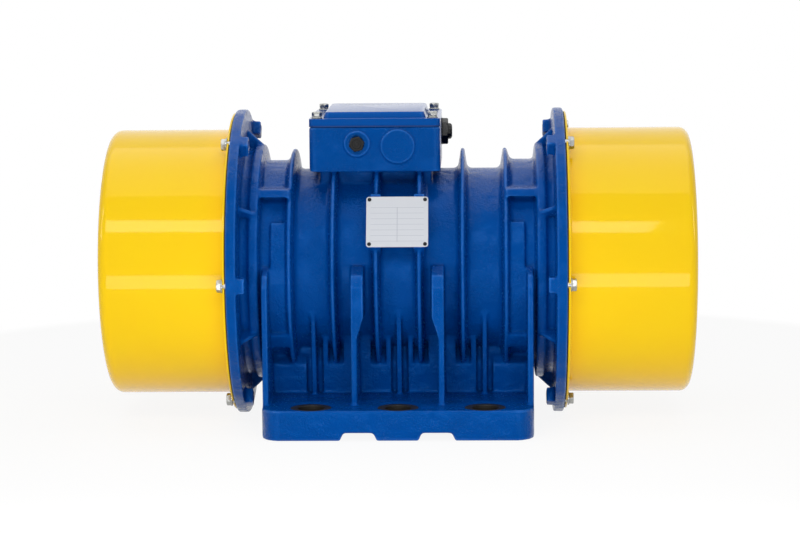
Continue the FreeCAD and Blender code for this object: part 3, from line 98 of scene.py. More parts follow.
def add(tree, kind, inputs=None, **settings):
    """Add one node with its settings; an input is a value, a socket, or a node whose output feeds it."""
    node = tree.nodes.new(kind)
    for name, value in settings.items():
        setattr(node, name, value)
    for key, value in (inputs or {}).items():
        if isinstance(value, bpy.types.Node):
            value = next(output for output in value.outputs if output.enabled)
        if isinstance(value, bpy.types.NodeSocket):
            tree.links.new(value, node.inputs[key])
        else:
            node.inputs[key].default_value = value
    return node


def span(*ends):
    """Inputs of a range: its ends as they come in and as they go out."""
    return dict(zip(("From Min", "From Max", "To Min", "To Max"), ends))


def grains(size_mm):
    """Scale of a noise whose grains are about this size."""
    return 1 / (size_mm * MM)


def new_material(name, surface_of, *values):
    """A material whose surface, or the inputs of its surface, a function makes from object coordinates."""
    material = bpy.data.materials.new(name)
    material.use_nodes = True
    tree = material.node_tree
    tree.nodes.clear()
    surface = surface_of(tree, add(tree, "ShaderNodeTexCoord").outputs["Object"], *values)
    if isinstance(surface, dict):
        surface = add(tree, "ShaderNodeBsdfPrincipled", surface)
    add(tree, "ShaderNodeOutputMaterial", {"Surface": surface})
    return material


# ---------------------------------------------------------------- materials

CAST_IOR = 1.45
PAINT_IOR = 1.5
POLYMER_SURFACE = {"IOR": PAINT_IOR, "Specular IOR Level": 0.3}
# reflections seen straight on take the paint's own hue, so that it stays deep under white surroundings
BLUE_SHEEN = (0.01, 0.30, 1.0, 1.0)
YELLOW_SHEEN = (1.0, 0.9, 0.12, 1.0)

PATCH_MM = 45
# share of the colour kept in the thinner random patches, and share kept by the painted shade in hollow corners
THIN_COAT, CORNER_SHADE_SHARE = 0.78, 0.25
WAVE_MM, WAVE_DEPTH_MM = 22, 2.0
SAND_MM, SAND_DEPTH_MM = 3.6, 1.8
# measures of how proud or hollow the skin is, from flat to fully so
PROUD = (0.515, 0.58)
HOLLOW = (0.485, 0.42)


def cast_enamel(tree, coords):
    """Alkyd enamel on sand-cast iron: glossy, over a skin whose grain breaks every highlight up."""
    enamel = bpy.context.scene.motor_casting.colour
    patches = add(tree, NOISE, {"Vector": coords, "Scale": grains(PATCH_MM)})
    # the sand's grain is drawn coarse enough to show
    sand = add(tree, NOISE, {"Vector": coords, "Scale": grains(SAND_MM), "Detail": 3.0, "Roughness": 0.6})
    waves = add(tree, NOISE, {"Vector": coords, "Scale": grains(WAVE_MM), "Detail": 1.0})
    rough_here = add(tree, RANGE, {"Value": patches, **span(0.40, 0.60, 0.25, 1.0)})
    height = add(tree, MATH, {0: sand, 1: rough_here}, operation="MULTIPLY")
    normal = add(tree, BUMP, {"Height": waves, "Distance": WAVE_DEPTH_MM * MM})
    normal = add(tree, BUMP, {"Height": height, "Normal": normal, "Distance": SAND_DEPTH_MM * MM})
    # the sprayed coat is thinner and darker in some patches than in others
    colour = add(tree, MIX, {MIX_SHARE: patches, MIX_FIRST: shaded(enamel, 1.0),
                             MIX_SECOND: shaded(enamel, THIN_COAT)}, data_type="RGBA")
    # painted highlight and painted shade: proud edges are lightened to a paler blue in place of glints, and hollow
    # corners are darkened where shade falls
    shape = add(tree, "ShaderNodeNewGeometry").outputs["Pointiness"]
    edge = add(tree, RANGE, {"Value": shape, **span(*PROUD, 0.0, 1.0)})
    corner = add(tree, RANGE, {"Value": shape, **span(*HOLLOW, 0.0, 0.7)})
    # painted shade: hollow corners darken towards a quarter of the enamel's colour
    colour = add(tree, MIX, {MIX_SHARE: corner, MIX_FIRST: colour, MIX_SECOND: shaded(enamel, CORNER_SHADE_SHARE)},
                 data_type="RGBA")
    # painted highlight: proud edges lighten towards a paler blue that stands in for glints
    colour = add(tree, MIX, {MIX_SHARE: edge, MIX_FIRST: colour, MIX_SECOND: srgb("#1f70cc")},
                 data_type="RGBA")
    # the clear gloss lies thickest along the edges
    film = add(tree, RANGE, {"Value": edge, **span(0.0, 1.0, 0.04, 0.45)})
    gloss = add(tree, RANGE, {"Value": sand, **span(0.35, 0.65, 0.14, 0.28)})
    return {"Base Color": colour, "Roughness": gloss, "Normal": normal, "IOR": CAST_IOR,
            "Specular IOR Level": 0.35, "Specular Tint": BLUE_SHEEN,
            "Coat Weight": film, "Coat Normal": normal, "Coat Roughness": 0.08}


def yellow_enamel(tree, coords):
    """Gloss enamel on deep-drawn sheet: even colour, long soft highlights, slight orange peel."""
    enamel = bpy.context.scene.motor_caps.colour
    peel = add(tree, NOISE, {"Vector": coords, "Scale": grains(4), "Detail": 1.0})
    swell = add(tree, NOISE, {"Vector": coords, "Scale": grains(60), "Detail": 1.0})
    normal = add(tree, BUMP, {"Height": swell, "Distance": 0.4 * MM})
    normal = add(tree, BUMP, {"Height": peel, "Normal": normal, "Distance": 0.05 * MM})
    warm = (enamel[0], enamel[1] * 0.95, enamel[2], 1.0)
    colour = add(tree, MIX, {MIX_SHARE: swell, MIX_FIRST: shaded(enamel, 1.0), MIX_SECOND: warm},
                 data_type="RGBA")
    gloss = add(tree, RANGE, {"Value": peel, **span(NOISE_LOW, NOISE_HIGH, 0.14, 0.22)})
    return {"Base Color": colour, "Roughness": gloss, "Normal": normal, "IOR": PAINT_IOR,
            "Specular IOR Level": 0.15, "Specular Tint": YELLOW_SHEEN,
            "Coat Weight": 0.32, "Coat Roughness": 0.05}


def machined_iron(tree, coords):
    """Spot-faced cast iron: dark and oily, with the cutter's fine lay."""
    grain = add(tree, NOISE, {"Vector": coords, "Scale": grains(1.5), "Detail": 3.0})
    stain = add(tree, NOISE, {"Vector": coords, "Scale": grains(14)})
    colour = add(tree, MIX, {MIX_SHARE: stain, MIX_FIRST: srgb("#3a3733"), MIX_SECOND: srgb("#151414")},
                 data_type="RGBA")
    gloss = add(tree, RANGE, {"Value": grain, **span(NOISE_LOW, NOISE_HIGH, 0.45, 0.62)})
    normal = add(tree, BUMP, {"Height": grain, "Distance": 0.12 * MM})
    return {"Base Color": colour, "Roughness": gloss, "Normal": normal, "Metallic": 0.6}


# Ruled part of the plate's print, as shares of its length and height.
PLATE_ROWS = 9.0
RULE_SHARE = 0.07
RULED_ALONG = (0.07, 0.93)
RULED_UP = (0.10, 0.79)
COLUMN_AT, COLUMN_HALF = 0.5, 0.006


def plate_print(tree, coords):
    """Anodised aluminium nameplate: a pale printed ground with faint ruled rows and a column, no words."""
    split = add(tree, "ShaderNodeSeparateXYZ", {"Vector": add(tree, "ShaderNodeUVMap", uv_map="plate")})
    across, up = split.outputs[0], split.outputs[1]
    rows = add(tree, MATH, {0: up, 1: PLATE_ROWS}, operation="MULTIPLY")
    rows = add(tree, MATH, {0: rows}, operation="FRACT")
    rows = add(tree, MATH, {0: rows, 1: RULE_SHARE}, operation="LESS_THAN")
    column = add(tree, MATH, {0: across, 1: COLUMN_AT, 2: COLUMN_HALF}, operation="COMPARE")
    ink = add(tree, MATH, {0: rows, 1: column}, operation="MAXIMUM")
    for place, (low, high) in ((up, RULED_UP), (across, RULED_ALONG)):
        for limit, way in ((low, "GREATER_THAN"), (high, "LESS_THAN")):
            inside = add(tree, MATH, {0: place, 1: limit}, operation=way)
            ink = add(tree, MATH, {0: ink, 1: inside}, operation="MULTIPLY")
    grain = add(tree, NOISE, {"Vector": coords, "Scale": grains(1.2)})
    colour = add(tree, MIX, {MIX_SHARE: ink, MIX_FIRST: srgb("#d0d3d9"), MIX_SECOND: srgb("#b6bac4")},
                 data_type="RGBA")
    gloss = add(tree, RANGE, {"Value": grain, **span(NOISE_LOW, NOISE_HIGH, 0.50, 0.62)})
    return {"Base Color": colour, "Roughness": gloss, "IOR": PAINT_IOR, "Specular IOR Level": 0.2}


def fine_grained(tree, coords, colours, low, high, grain_mm, depth_mm, surface, detail=2.0, stretch=None):
    """A finish whose roughness, relief and, between two colours, tint all follow one fine grain."""
    if stretch:
        coords = add(tree, "ShaderNodeMapping", {"Vector": coords, "Scale": stretch})
    grain = add(tree, NOISE, {"Vector": coords, "Scale": grains(grain_mm), "Detail": detail})
    colour = colours[0]
    if len(colours) == 2:
        colour = add(tree, MIX, {MIX_SHARE: grain, MIX_FIRST: colours[0], MIX_SECOND: colours[1]},
                     data_type="RGBA")
    gloss = add(tree, RANGE, {"Value": grain, **span(NOISE_LOW, NOISE_HIGH, low, high)})
    normal = add(tree, BUMP, {"Height": grain, "Distance": depth_mm * MM})
    return {"Base Color": colour, "Roughness": gloss, "Normal": normal, **surface}


def smooth_enamel(tree, coords):
    """The same enamel on a flatter lid: an even, mirror-like top with faint orange peel."""
    colours = [shaded(bpy.context.scene.motor_casting.colour, 1.0)]
    return fine_grained(tree, coords, colours, 0.10, 0.17, 6, 0.15,
                        {"IOR": PAINT_IOR, "Specular IOR Level": 0.5, "Specular Tint": BLUE_SHEEN,
                         "Coat Weight": 0.1, "Coat Roughness": 0.06})


def painted_gasket(tree, coords):
    """Rubber edge of the lid's seal under the same spray coat: a darker, duller seam."""
    colours = [shaded(bpy.context.scene.motor_casting.colour, 0.6)]
    return fine_grained(tree, coords, colours, 0.40, 0.60, 2.0, 0.2, POLYMER_SURFACE)


# Bare and plated metals: colour, lowest and highest roughness, grain and relief in mm, stretch of the grain.
METALS = {
    # pale silver passivated zinc with a soft, slightly uneven sparkle
    "bright_zinc_plate": ("#a8a9a6", 0.22, 0.42, 1.2, 0.02, (1, 1, 1)),
    # nearly black rivet heads with a dull edge glint
    "blackened_steel": ("#2a2a2c", 0.35, 0.50, 1.0, 0.02, (1, 1, 1)),
    # lathe-turned steel with a fine lay round the shaft
    "turned_carbon_steel": ("#b4b6ba", 0.20, 0.34, 0.8, 0.02, (1, 0.05, 0.05)),
    # grey edges of stacked laminations, striped across the shaft
    "stacked_lamination_steel": ("#6c6f74", 0.35, 0.50, 0.6, 0.05, (1, 0.02, 0.02)),
    # reddish varnished wire bundled along the coil
    "enamelled_copper_wire": ("#b8623a", 0.25, 0.40, 1.4, 0.15, (0.2, 1, 1)),
    # dull silver cast skin of the rotor's cage
    "die_cast_aluminium": ("#c9cbcd", 0.35, 0.55, 2.5, 0.05, (1, 1, 1)),
    # warm brown-gold of a machined bearing cage
    "turned_bronze": ("#b08d4a", 0.25, 0.40, 1.0, 0.02, (1, 1, 1)),
    # yellow studs and links of the terminal board
    "turned_brass": ("#c9a75a", 0.20, 0.35, 1.0, 0.02, (1, 1, 1)),
    # dark scale with coarse cutting marks on the weights
    "flame_cut_steel_plate": ("#55575a", 0.50, 0.70, 4.0, 0.30, (1, 1, 1)),
}

# Moulded plastics and rubbers: colour, lowest and highest roughness, grain and relief in mm.
POLYMERS = {
    # black, satin, with a fine spark-eroded grain
    "black_glass_filled_nylon": ("#0b0b0c", 0.24, 0.40, 0.8, 0.04),
    # dull black with hardly any highlight
    "black_epdm_rubber": ("#1a1a1b", 0.60, 0.80, 0.6, 0.05),
    # dark brown, slightly mottled moulding
    "brown_phenolic_moulding": ("#5a2d1c", 0.30, 0.45, 1.5, 0.04),
}

DRAWN = {
    "cast_enamel": ("gloss_enamel_on_sand_cast_iron", cast_enamel),
    "smooth_enamel": ("gloss_enamel_on_machined_lid", smooth_enamel),
    "painted_gasket": ("enamel_over_rubber_seal", painted_gasket),
    "yellow_enamel": ("gloss_enamel_on_drawn_steel", yellow_enamel),
    "machined_iron": ("spot_faced_cast_iron", machined_iron),
    "plate_print": ("printed_anodised_aluminium", plate_print),
}

WORN_SHARE = 0.85
FADED_SHARE = 1.25
_made = {}


def material_of(name):
    """The shared material of that name, made on first use."""
    if name not in _made:
        if name in METALS:
            code, *rest, stretch = METALS[name]
            colours = (srgb(code), shaded(srgb(code), WORN_SHARE))
            _made[name] = new_material(name, fine_grained, colours, *rest, {"Metallic": 1.0}, 3.0, stretch)
        elif name in POLYMERS:
            code, *rest = POLYMERS[name]
            colours = (srgb(code), shaded(srgb(code), FADED_SHARE))
            _made[name] = new_material(name, fine_grained, colours, *rest, POLYMER_SURFACE)
        else:
            _made[name] = new_material(*DRAWN[name])
    return _made[name]


# Finish of every CAD node that stays as it is; a node at both ends is named without its end.
FINISHES = {
    "painted_gasket": ("terminal_box_gasket",),
    "black_epdm_rubber": ("cable_gland_seal", "cap_gasket", "grease_seal"),
    "brown_phenolic_moulding": ("terminal_block",),
    "turned_brass": ("terminal_studs", "terminal_links", "terminal_nuts"),
    "bright_zinc_plate": ("earth_screw", "housing_bolts", "cover_bolts", "weight_clamp_bolt"),
    "cast_enamel": ("bearing_housing", "bearing_cover"),
    "stacked_lamination_steel": ("stator_core", "rotor_core"),
    "enamelled_copper_wire": ("stator_windings",),
    "die_cast_aluminium": ("rotor_cage",),
    "turned_carbon_steel": ("shaft", "bearing_outer_race", "bearing_inner_race", "bearing_rollers",
                            "spacer_ring", "weight_key", "shaft_ring"),
    "turned_bronze": ("bearing_cage",),
    "flame_cut_steel_plate": ("fixed_weight", "adjustable_weight"),
}
NODE_FINISH = {node: finish for finish, nodes in FINISHES.items() for node in nodes}


# ---------------------------------------------------------------- mesh helpers

def piece(name, mesh, finish, stands_for=()):
    """Link a finished mesh as a piece of the motor's fixed body."""
    obj = bpy.data.objects.new(name, mesh)
    bpy.context.collection.objects.link(obj)
    mesh.materials.clear()
    mesh.materials.append(material_of(finish))
    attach(obj, "motor")
    if stands_for:
        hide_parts(*stands_for)


def to_mesh(bm, name, smooth_angle=35):
    """Close a bmesh into mesh data with outward normals and smooth shading under an angle."""
    bmesh.ops.remove_doubles(bm, verts=bm.verts, dist=MERGE)
    bmesh.ops.recalc_face_normals(bm, faces=bm.faces)
    mesh = bpy.data.meshes.new(name)
    bm.to_mesh(mesh)
    bm.free()
    mesh.polygons.foreach_set("use_smooth", [True] * len(mesh.polygons))
    mesh.set_sharp_from_angle(angle=math.radians(smooth_angle))
    return mesh


def rounded(points, steps):
    """A closed outline of (x, y, corner radius) points with its corners turned into arcs."""
    result = []
    count = len(points)
    for i, (x, y, radius) in enumerate(points):
        here = Vector((x, y))
        if radius <= 0:
            result.append(here)
            continue
        before = (Vector(points[i - 1][:2]) - here).normalized()
        after = (Vector(points[(i + 1) % count][:2]) - here).normalized()
        half = before.angle(after) / 2
        reach = radius / math.tan(half)
        centre = here + (before + after).normalized() * (radius / math.sin(half))
        start = here + before * reach - centre
        end = here + after * reach - centre
        swing = start.angle_signed(end)
        for step in range(steps + 1):
            turn = Matrix.Rotation(-swing * step / steps, 2)
            result.append(centre + turn @ start)
    return result


def hex_reach(angle, half_flats):
    """Distance from the middle of a hexagon to its side at an angle."""
    turn = (angle + math.pi / 6) % (math.pi / 3) - math.pi / 6
    return half_flats / math.cos(turn)


FLUTES = 12
FLUTE_DEPTH = 0.035


def reach_at(point, angle):
    """Radius of an outline point at an angle: round, limited by a hexagon, or fluted for grip."""
    radius = point[1]
    if len(point) == 3 and point[2] == "fluted":
        return radius * (1 + FLUTE_DEPTH * math.cos(FLUTES * angle))
    if len(point) == 3:
        return min(radius, hex_reach(angle, point[2]))
    return radius


def turned(bm, profile, segments, spot=(0, 0, 0), axis=(0, 0, 1)):
    """Turn an outline of (along, radius, kind) points about an axis; one that starts on the axis is solid."""
    along = Vector(axis).normalized()
    across = along.orthogonal().normalized()
    other = along.cross(across)
    rings = []
    for k in range(segments):
        angle = 2 * math.pi * k / segments
        outward = across * math.cos(angle) + other * math.sin(angle)
        rings.append([bm.verts.new(Vector(spot) + along * p[0] + outward * reach_at(p, angle))
                      for p in profile])
    solid = profile[0][1] == 0
    for k in range(segments):
        near, far = rings[k], rings[(k + 1) % segments]
        for i in range(len(profile) - solid):
            j = (i + 1) % len(profile)
            bm.faces.new((near[i], near[j], far[j], far[i]))
    bmesh.ops.remove_doubles(bm, verts=bm.verts, dist=SEAM_MERGE)


def prism(bm, outline, low, high, to_world):
    """A straight solid between two heights over a flat outline."""
    bottom = [bm.verts.new(to_world(p[0], p[1], low)) for p in outline]
    top = [bm.verts.new(to_world(p[0], p[1], high)) for p in outline]
    bm.faces.new(bottom[::-1])
    bm.faces.new(top)
    for i in range(len(outline)):
        j = (i + 1) % len(outline)
        bm.faces.new((bottom[i], bottom[j], top[j], top[i]))


def applied(obj, name):
    """The evaluated mesh of an object with modifiers; the object itself is removed."""
    graph = bpy.context.evaluated_depsgraph_get()
    mesh = bpy.data.meshes.new_from_object(obj.evaluated_get(graph), depsgraph=graph)
    mesh.name = name
    bpy.data.objects.remove(obj)
    return mesh


def temporary(mesh):
    obj = bpy.data.objects.new("work", mesh)
    bpy.context.collection.objects.link(obj)
    return obj


BEVEL_ANGLE = 30


def bevelled(mesh, width, segments):
    """The same mesh with its sharp edges rounded."""
    obj = temporary(mesh)
    bevel = obj.modifiers.new("round", "BEVEL")
    bevel.width = width
    bevel.segments = segments
    bevel.limit_method = "ANGLE"
    bevel.angle_limit = math.radians(BEVEL_ANGLE)
    return applied(obj, mesh.name)


def joined_copy(name):
    """A CAD node's mesh with its facets joined."""
    bm = bmesh.new()
    bm.from_mesh(frame["nodes"][name].data)
    bmesh.ops.remove_doubles(bm, verts=bm.verts, dist=MERGE)
    return bm


def islands(name):
    """Lowest and highest corner of each separate solid in a CAD node, in the order of their places."""
    bm = joined_copy(name)
    waiting = set(bm.verts)
    boxes = []
    while waiting:
        stack = [waiting.pop()]
        corners = []
        while stack:
            vertex = stack.pop()
            corners.append(vertex.co.copy())
            for edge in vertex.link_edges:
                other = edge.other_vert(vertex)
                if other in waiting:
                    waiting.remove(other)
                    stack.append(other)
        boxes.append((Vector(map(min, zip(*corners))), Vector(map(max, zip(*corners)))))
    bm.free()
    return sorted(boxes, key=lambda box: tuple(box[0]))


def seats(name, axis_of):
    """The foot of each solid of a CAD node, and the axis it stands along."""
    result = []
    for low, high in islands(name):
        middle = (low + high) / 2
        axis = Vector(axis_of(middle)).normalized()
        depth = sum(abs(a * b) for a, b in zip(high - low, axis)) / 2
        result.append((middle - axis * depth, axis))
    return result


SEED = 7
RANDOM_MOST = 3


def repeat_tree():
    """Geometry Nodes: one copy of a shape on every point, along the point's axis and turned at random."""
    tree = bpy.data.node_groups.new("repeat_along_axes", "GeometryNodeTree")
    sockets = (("Points", "INPUT", "NodeSocketGeometry"), ("Shape", "INPUT", "NodeSocketObject"),
               ("Most turn", "INPUT", "NodeSocketFloat"), ("Seed", "INPUT", "NodeSocketInt"),
               ("Finish", "INPUT", "NodeSocketMaterial"), ("Pieces", "OUTPUT", "NodeSocketGeometry"))
    for label, way, kind in sockets:
        tree.interface.new_socket(label, in_out=way, socket_type=kind)
    given = add(tree, "NodeGroupInput").outputs
    shape = add(tree, "GeometryNodeObjectInfo", {"Object": given["Shape"]}, transform_space="ORIGINAL")
    axis = add(tree, "GeometryNodeInputNamedAttribute", {"Name": "axis"}, data_type="FLOAT_VECTOR")
    aligned = add(tree, "FunctionNodeAlignRotationToVector", {"Vector": axis.outputs["Attribute"]}, axis="Z")
    turn = add(tree, "FunctionNodeRandomValue", {RANDOM_MOST: given["Most turn"], "Seed": given["Seed"]},
               data_type="FLOAT")
    spin = add(tree, "FunctionNodeAxisAngleToRotation", {"Angle": turn, "Axis": (0, 0, 1)})
    rotation = add(tree, "FunctionNodeRotateRotation", {"Rotation": aligned, "Rotate By": spin},
                   rotation_space="LOCAL")
    copies = add(tree, "GeometryNodeInstanceOnPoints",
                 {"Points": given["Points"], "Instance": shape.outputs["Geometry"], "Rotation": rotation})
    real = add(tree, "GeometryNodeRealizeInstances", {"Geometry": copies})
    dressed = add(tree, "GeometryNodeSetMaterial", {"Geometry": real, "Material": given["Finish"]})
    add(tree, "NodeGroupOutput", {"Pieces": dressed})
    return tree


def repeated(name, bm, spots, finish, stands_for=(), most_turn=0.0):
    """One piece of copies of a shape drawn along +Z, set on (spot, axis) pairs by Geometry Nodes."""
    points = bpy.data.meshes.new(name)
    points.from_pydata([tuple(spot) for spot, axis in spots], [], [])
    attribute = points.attributes.new("axis", "FLOAT_VECTOR", "POINT")
    attribute.data.foreach_set("vector", [value for spot, axis in spots for value in axis])
    shape = temporary(to_mesh(bm, name + "_shape"))
    holder = temporary(points)
    modifier = holder.modifiers.new("copies", "NODES")
    modifier.node_group = repeat_tree()
    given = {"Shape": shape, "Most turn": most_turn, "Seed": SEED, "Finish": material_of(finish)}
    for socket in modifier.node_group.interface.items_tree:
        if socket.in_out == "INPUT" and socket.name in given:
            modifier[socket.identifier] = given[socket.name]
    mesh = applied(holder, name)
    bpy.data.objects.remove(shape)
    piece(name, mesh, finish, stands_for)


# ---------------------------------------------------------------- settings

class MotorCasting(bpy.types.PropertyGroup):
    colour: FloatVectorProperty(name="Enamel", description="Colour of the casting and lid", subtype="COLOR",
                                size=3, min=0, max=1, default=srgb("#004a9c")[:3])
    voxel: FloatProperty(name="Grain", description="Size of the mesh cells that round the cast edges",
                         default=1.7 * MM, min=1 * MM, unit="LENGTH")
    smoothing: IntProperty(name="Rounding", description="Passes that soften edges into cast fillets",
                           default=11, min=0, max=40)
    faces: IntProperty(name="Triangles", description="Triangles kept after thinning", default=196000,
                       min=1000)


class MotorCaps(bpy.types.PropertyGroup):
    colour: FloatVectorProperty(name="Enamel", description="Colour of the drawn caps", subtype="COLOR",
                                size=3, min=0, max=1, default=srgb("#ffd400")[:3])
    sheet: FloatProperty(name="Sheet", description="Sheet thickness", default=3 * MM, unit="LENGTH")
    end_round: FloatProperty(name="End corner", description="Radius of the drawn end corner",
                             default=14 * MM, unit="LENGTH")
    rim_round: FloatProperty(name="Rim corner", description="Radius where the wall meets the rim",
                             default=6 * MM, unit="LENGTH")
    segments: IntProperty(name="Segments", description="Divisions round the cap", default=160, min=24)


class MotorFasteners(bpy.types.PropertyGroup):
    across_flats: FloatProperty(name="Across flats", description="Hexagon size of the cap screws",
                                default=16 * MM, unit="LENGTH")
    head: FloatProperty(name="Head height", description="Height of the hexagon heads", default=6.4 * MM,
                        unit="LENGTH")
    washer: FloatProperty(name="Washer", description="Outer radius of the cap screws' washers",
                          default=10 * MM, unit="LENGTH")
    lid_flats: FloatProperty(name="Lid bolt flats", description="Hexagon size of the lid bolts",
                             default=13 * MM, unit="LENGTH")
    lid_head: FloatProperty(name="Lid bolt head", description="Height of the lid bolts' heads",
                            default=5.6 * MM, unit="LENGTH")
    lid_washer: FloatProperty(name="Lid washer", description="Outer radius of the lid bolts' washers",
                              default=8 * MM, unit="LENGTH")
    rivet: FloatProperty(name="Rivet", description="Radius of the nameplate's rivet heads", default=2.8 * MM,
                         unit="LENGTH")


class MotorStage(bpy.types.PropertyGroup):
    lens: FloatProperty(name="Lens", description="Focal length of the camera", default=110.3, min=20)
    distance: FloatProperty(name="Distance", description="Camera distance in front of the shaft",
                            default=3.645, unit="LENGTH")
    rise: FloatProperty(name="Rise", description="Camera height above the shaft", default=0.4825,
                        unit="LENGTH")
    offset: FloatProperty(name="Offset", description="Camera place along the shaft", default=0.109,
                          unit="LENGTH")
    key_power: FloatProperty(name="Key light", description="Power of the narrow front strip, W", default=11)
    fill_power: FloatProperty(name="Low light", description="Power of the low front softbox, W", default=2.4)
    side_power: FloatProperty(name="Side light", description="Power of each side softbox, W", default=6)
    top_power: FloatProperty(name="Top light", description="Power of the overhead softbox, W", default=33)


# ---------------------------------------------------------------- cast body

SOFTEN_SHARE = 0.5


class MOTOR_OT_cast_body(bpy.types.Operator):
    """Round the casing's edges into cast fillets and give it the enamel"""
    bl_idname = "motor.cast_body"
    bl_label = "Cast body"

    def execute(self, context):
        settings = context.scene.motor_casting
        bm = joined_copy("motor_casing")
        mesh = bpy.data.meshes.new("cast_body")
        bm.to_mesh(mesh)
        bm.free()
        obj = temporary(mesh)
        cells = obj.modifiers.new("cells", "REMESH")
        cells.mode = "VOXEL"
        cells.voxel_size = settings.voxel * 1
        cells.use_smooth_shade = True
        soften = obj.modifiers.new("soften", "SMOOTH")
        soften.factor = SOFTEN_SHARE
        soften.iterations = settings.smoothing
        rounded_mesh = applied(obj, "cast_body")
        triangles = 2 * len(rounded_mesh.polygons)
        if triangles > settings.faces:
            obj = temporary(rounded_mesh)
            thin = obj.modifiers.new("thin", "DECIMATE")
            thin.ratio = settings.faces / triangles
            rounded_mesh = applied(obj, "cast_body")
        rounded_mesh.polygons.foreach_set("use_smooth", [True] * len(rounded_mesh.polygons))
        piece("cast_body", rounded_mesh, "cast_enamel", ["motor_casing"])
        return {"FINISHED"}


# ---------------------------------------------------------------- drawn end caps

WALL_INSET = 25.0 * MM
RIM_EDGE = 0.8 * MM
ARC_STEPS = 8


def cap_outline(end):
    """Open section of a drawn cap from the axis outside to the axis inside, as (along, radius)."""
    low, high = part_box("%s_end_cap" % end)
    settings = bpy.context.scene.motor_caps
    sheet = settings.sheet
    near = min(abs(low.x), abs(high.x))
    far = max(abs(low.x), abs(high.x))
    rim_radius = (high.z - low.z) / 2
    wall_radius = rim_radius - WALL_INSET
    outer = settings.end_round
    return rounded([
        (far, 0, 0),
        (far, wall_radius, outer),
        (near + sheet, wall_radius, settings.rim_round - sheet),
        (near + sheet, rim_radius, RIM_EDGE),
        (near, rim_radius, RIM_EDGE),
        (near, wall_radius - sheet, settings.rim_round),
        (far - sheet, wall_radius - sheet, outer - sheet),
        (far - sheet, 0, 0),
    ], ARC_STEPS)


class MOTOR_OT_end_caps(bpy.types.Operator):
    """Deep-drawn steel caps over the weights at both ends"""
    bl_idname = "motor.end_caps"
    bl_label = "End caps"

    def execute(self, context):
        settings = context.scene.motor_caps
        for end, side in ENDS.items():
            bm = bmesh.new()
            turned(bm, cap_outline(end), settings.segments, AXIS, (side, 0, 0))
            name = "%s_drawn_cap" % end
            piece(name, to_mesh(bm, name), "yellow_enamel", ["%s_end_cap" % end])
        return {"FINISHED"}


# ---------------------------------------------------------------- terminal box, plug and gland

# Section of the lid from the inside outwards: share of its height, inset along, inset across and corner
# radius in mm. The panel's sides stand clear of the two rows of bolts.
LID_LEVELS = (
    (0.60, 34, 18, 6), (0.0, 34, 18, 6), (0.0, 0.4, 0.4, 10), (0.02, 0, 0, 10), (0.46, 0, 0, 10),
    (0.495, 0.4, 0.4, 9.6), (0.51, 1.4, 1.4, 9), (0.51, 19.5, 3.6, 9), (0.54, 20.6, 4.6, 8.6),
    (0.94, 23.4, 8.4, 7), (0.985, 24.2, 9.2, 6.6), (1.0, 25.6, 10.6, 6),
)
LID_ARC_STEPS = 6
LID_CREASE = 20


class MOTOR_OT_box_lid(bpy.types.Operator):
    """Cast terminal box lid with a raised panel between its two rows of bolts"""
    bl_idname = "motor.box_lid"
    bl_label = "Terminal box lid"

    def execute(self, context):
        low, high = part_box("terminal_box_lid")
        bm = bmesh.new()
        rings = []
        for share, along, across, corner in LID_LEVELS:
            x0, x1 = low.x + along * MM, high.x - along * MM
            y0, y1 = low.y + across * MM, high.y - across * MM
            plan = rounded([(x, y, corner * MM) for x, y in ((x0, y0), (x1, y0), (x1, y1), (x0, y1))],
                           LID_ARC_STEPS)
            height = low.z + (high.z - low.z) * share
            rings.append([bm.verts.new((point.x, point.y, height)) for point in plan])
        for inner, outer in zip(rings, rings[1:]):
            for i in range(len(inner)):
                j = (i + 1) % len(inner)
                bm.faces.new((inner[i], inner[j], outer[j], outer[i]))
        bm.faces.new(rings[0])
        bm.faces.new(rings[-1])
        piece("box_lid", to_mesh(bm, "box_lid", LID_CREASE), "smooth_enamel",
              ["terminal_box_lid"])
        return {"FINISHED"}


PLUG_HALF_FLATS = 10.0 * MM
PLUG_DOT = 3.2 * MM
PLUG_HEAD = 8.0 * MM
# the plug stands this much further out than its solid
PLUG_REACH = 4.5 * MM
HEX_SEGMENTS = 96
MOULDED_CREASE = 25


class MOTOR_OT_entry_plug(bpy.types.Operator):
    """Hexagon plug in the front cable entry, with a moulding dot in its middle"""
    bl_idname = "motor.entry_plug"
    bl_label = "Entry plug"

    def execute(self, context):
        low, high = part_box("front_entry_plug")
        spot = Vector(((low.x + high.x) / 2, high.y, (low.z + high.z) / 2))
        deep = high.y - low.y + PLUG_REACH
        head = deep - PLUG_HEAD
        flats = PLUG_HALF_FLATS
        bm = bmesh.new()
        turned(bm, [
            (deep, 0), (deep, PLUG_DOT * 0.7), (deep - 0.5 * MM, PLUG_DOT),
            (deep - 1.4 * MM, PLUG_DOT + 0.3 * MM),
            (deep - 1.4 * MM, flats * 0.62), (deep - 0.6 * MM, flats * 0.68), (deep - 0.6 * MM, flats * 0.93),
            (deep - 1.2 * MM, flats * 1.04, flats), (deep - 1.8 * MM, flats * 1.16, flats),
            (head + 0.6 * MM, flats * 1.16, flats), (head, flats * 1.1, flats * 0.97),
            (head, flats * 0.98), (0, flats * 0.98), (0, 0)], HEX_SEGMENTS, spot, FRONT)
        piece("entry_plug", to_mesh(bm, "entry_plug", MOULDED_CREASE), "black_glass_filled_nylon",
              ["front_entry_plug"])
        return {"FINISHED"}


BOSS_RADIUS = 19.0 * MM
BLANK_RADIUS = 25.0 * MM
BLANK_HEIGHT = AXIS_HEIGHT + 180.0 * MM
BOSS_PROUD = 5.5 * MM
BOSS_ROUND = 2.0 * MM
FACE_SEGMENTS = 72
PAD_CREASE = 60


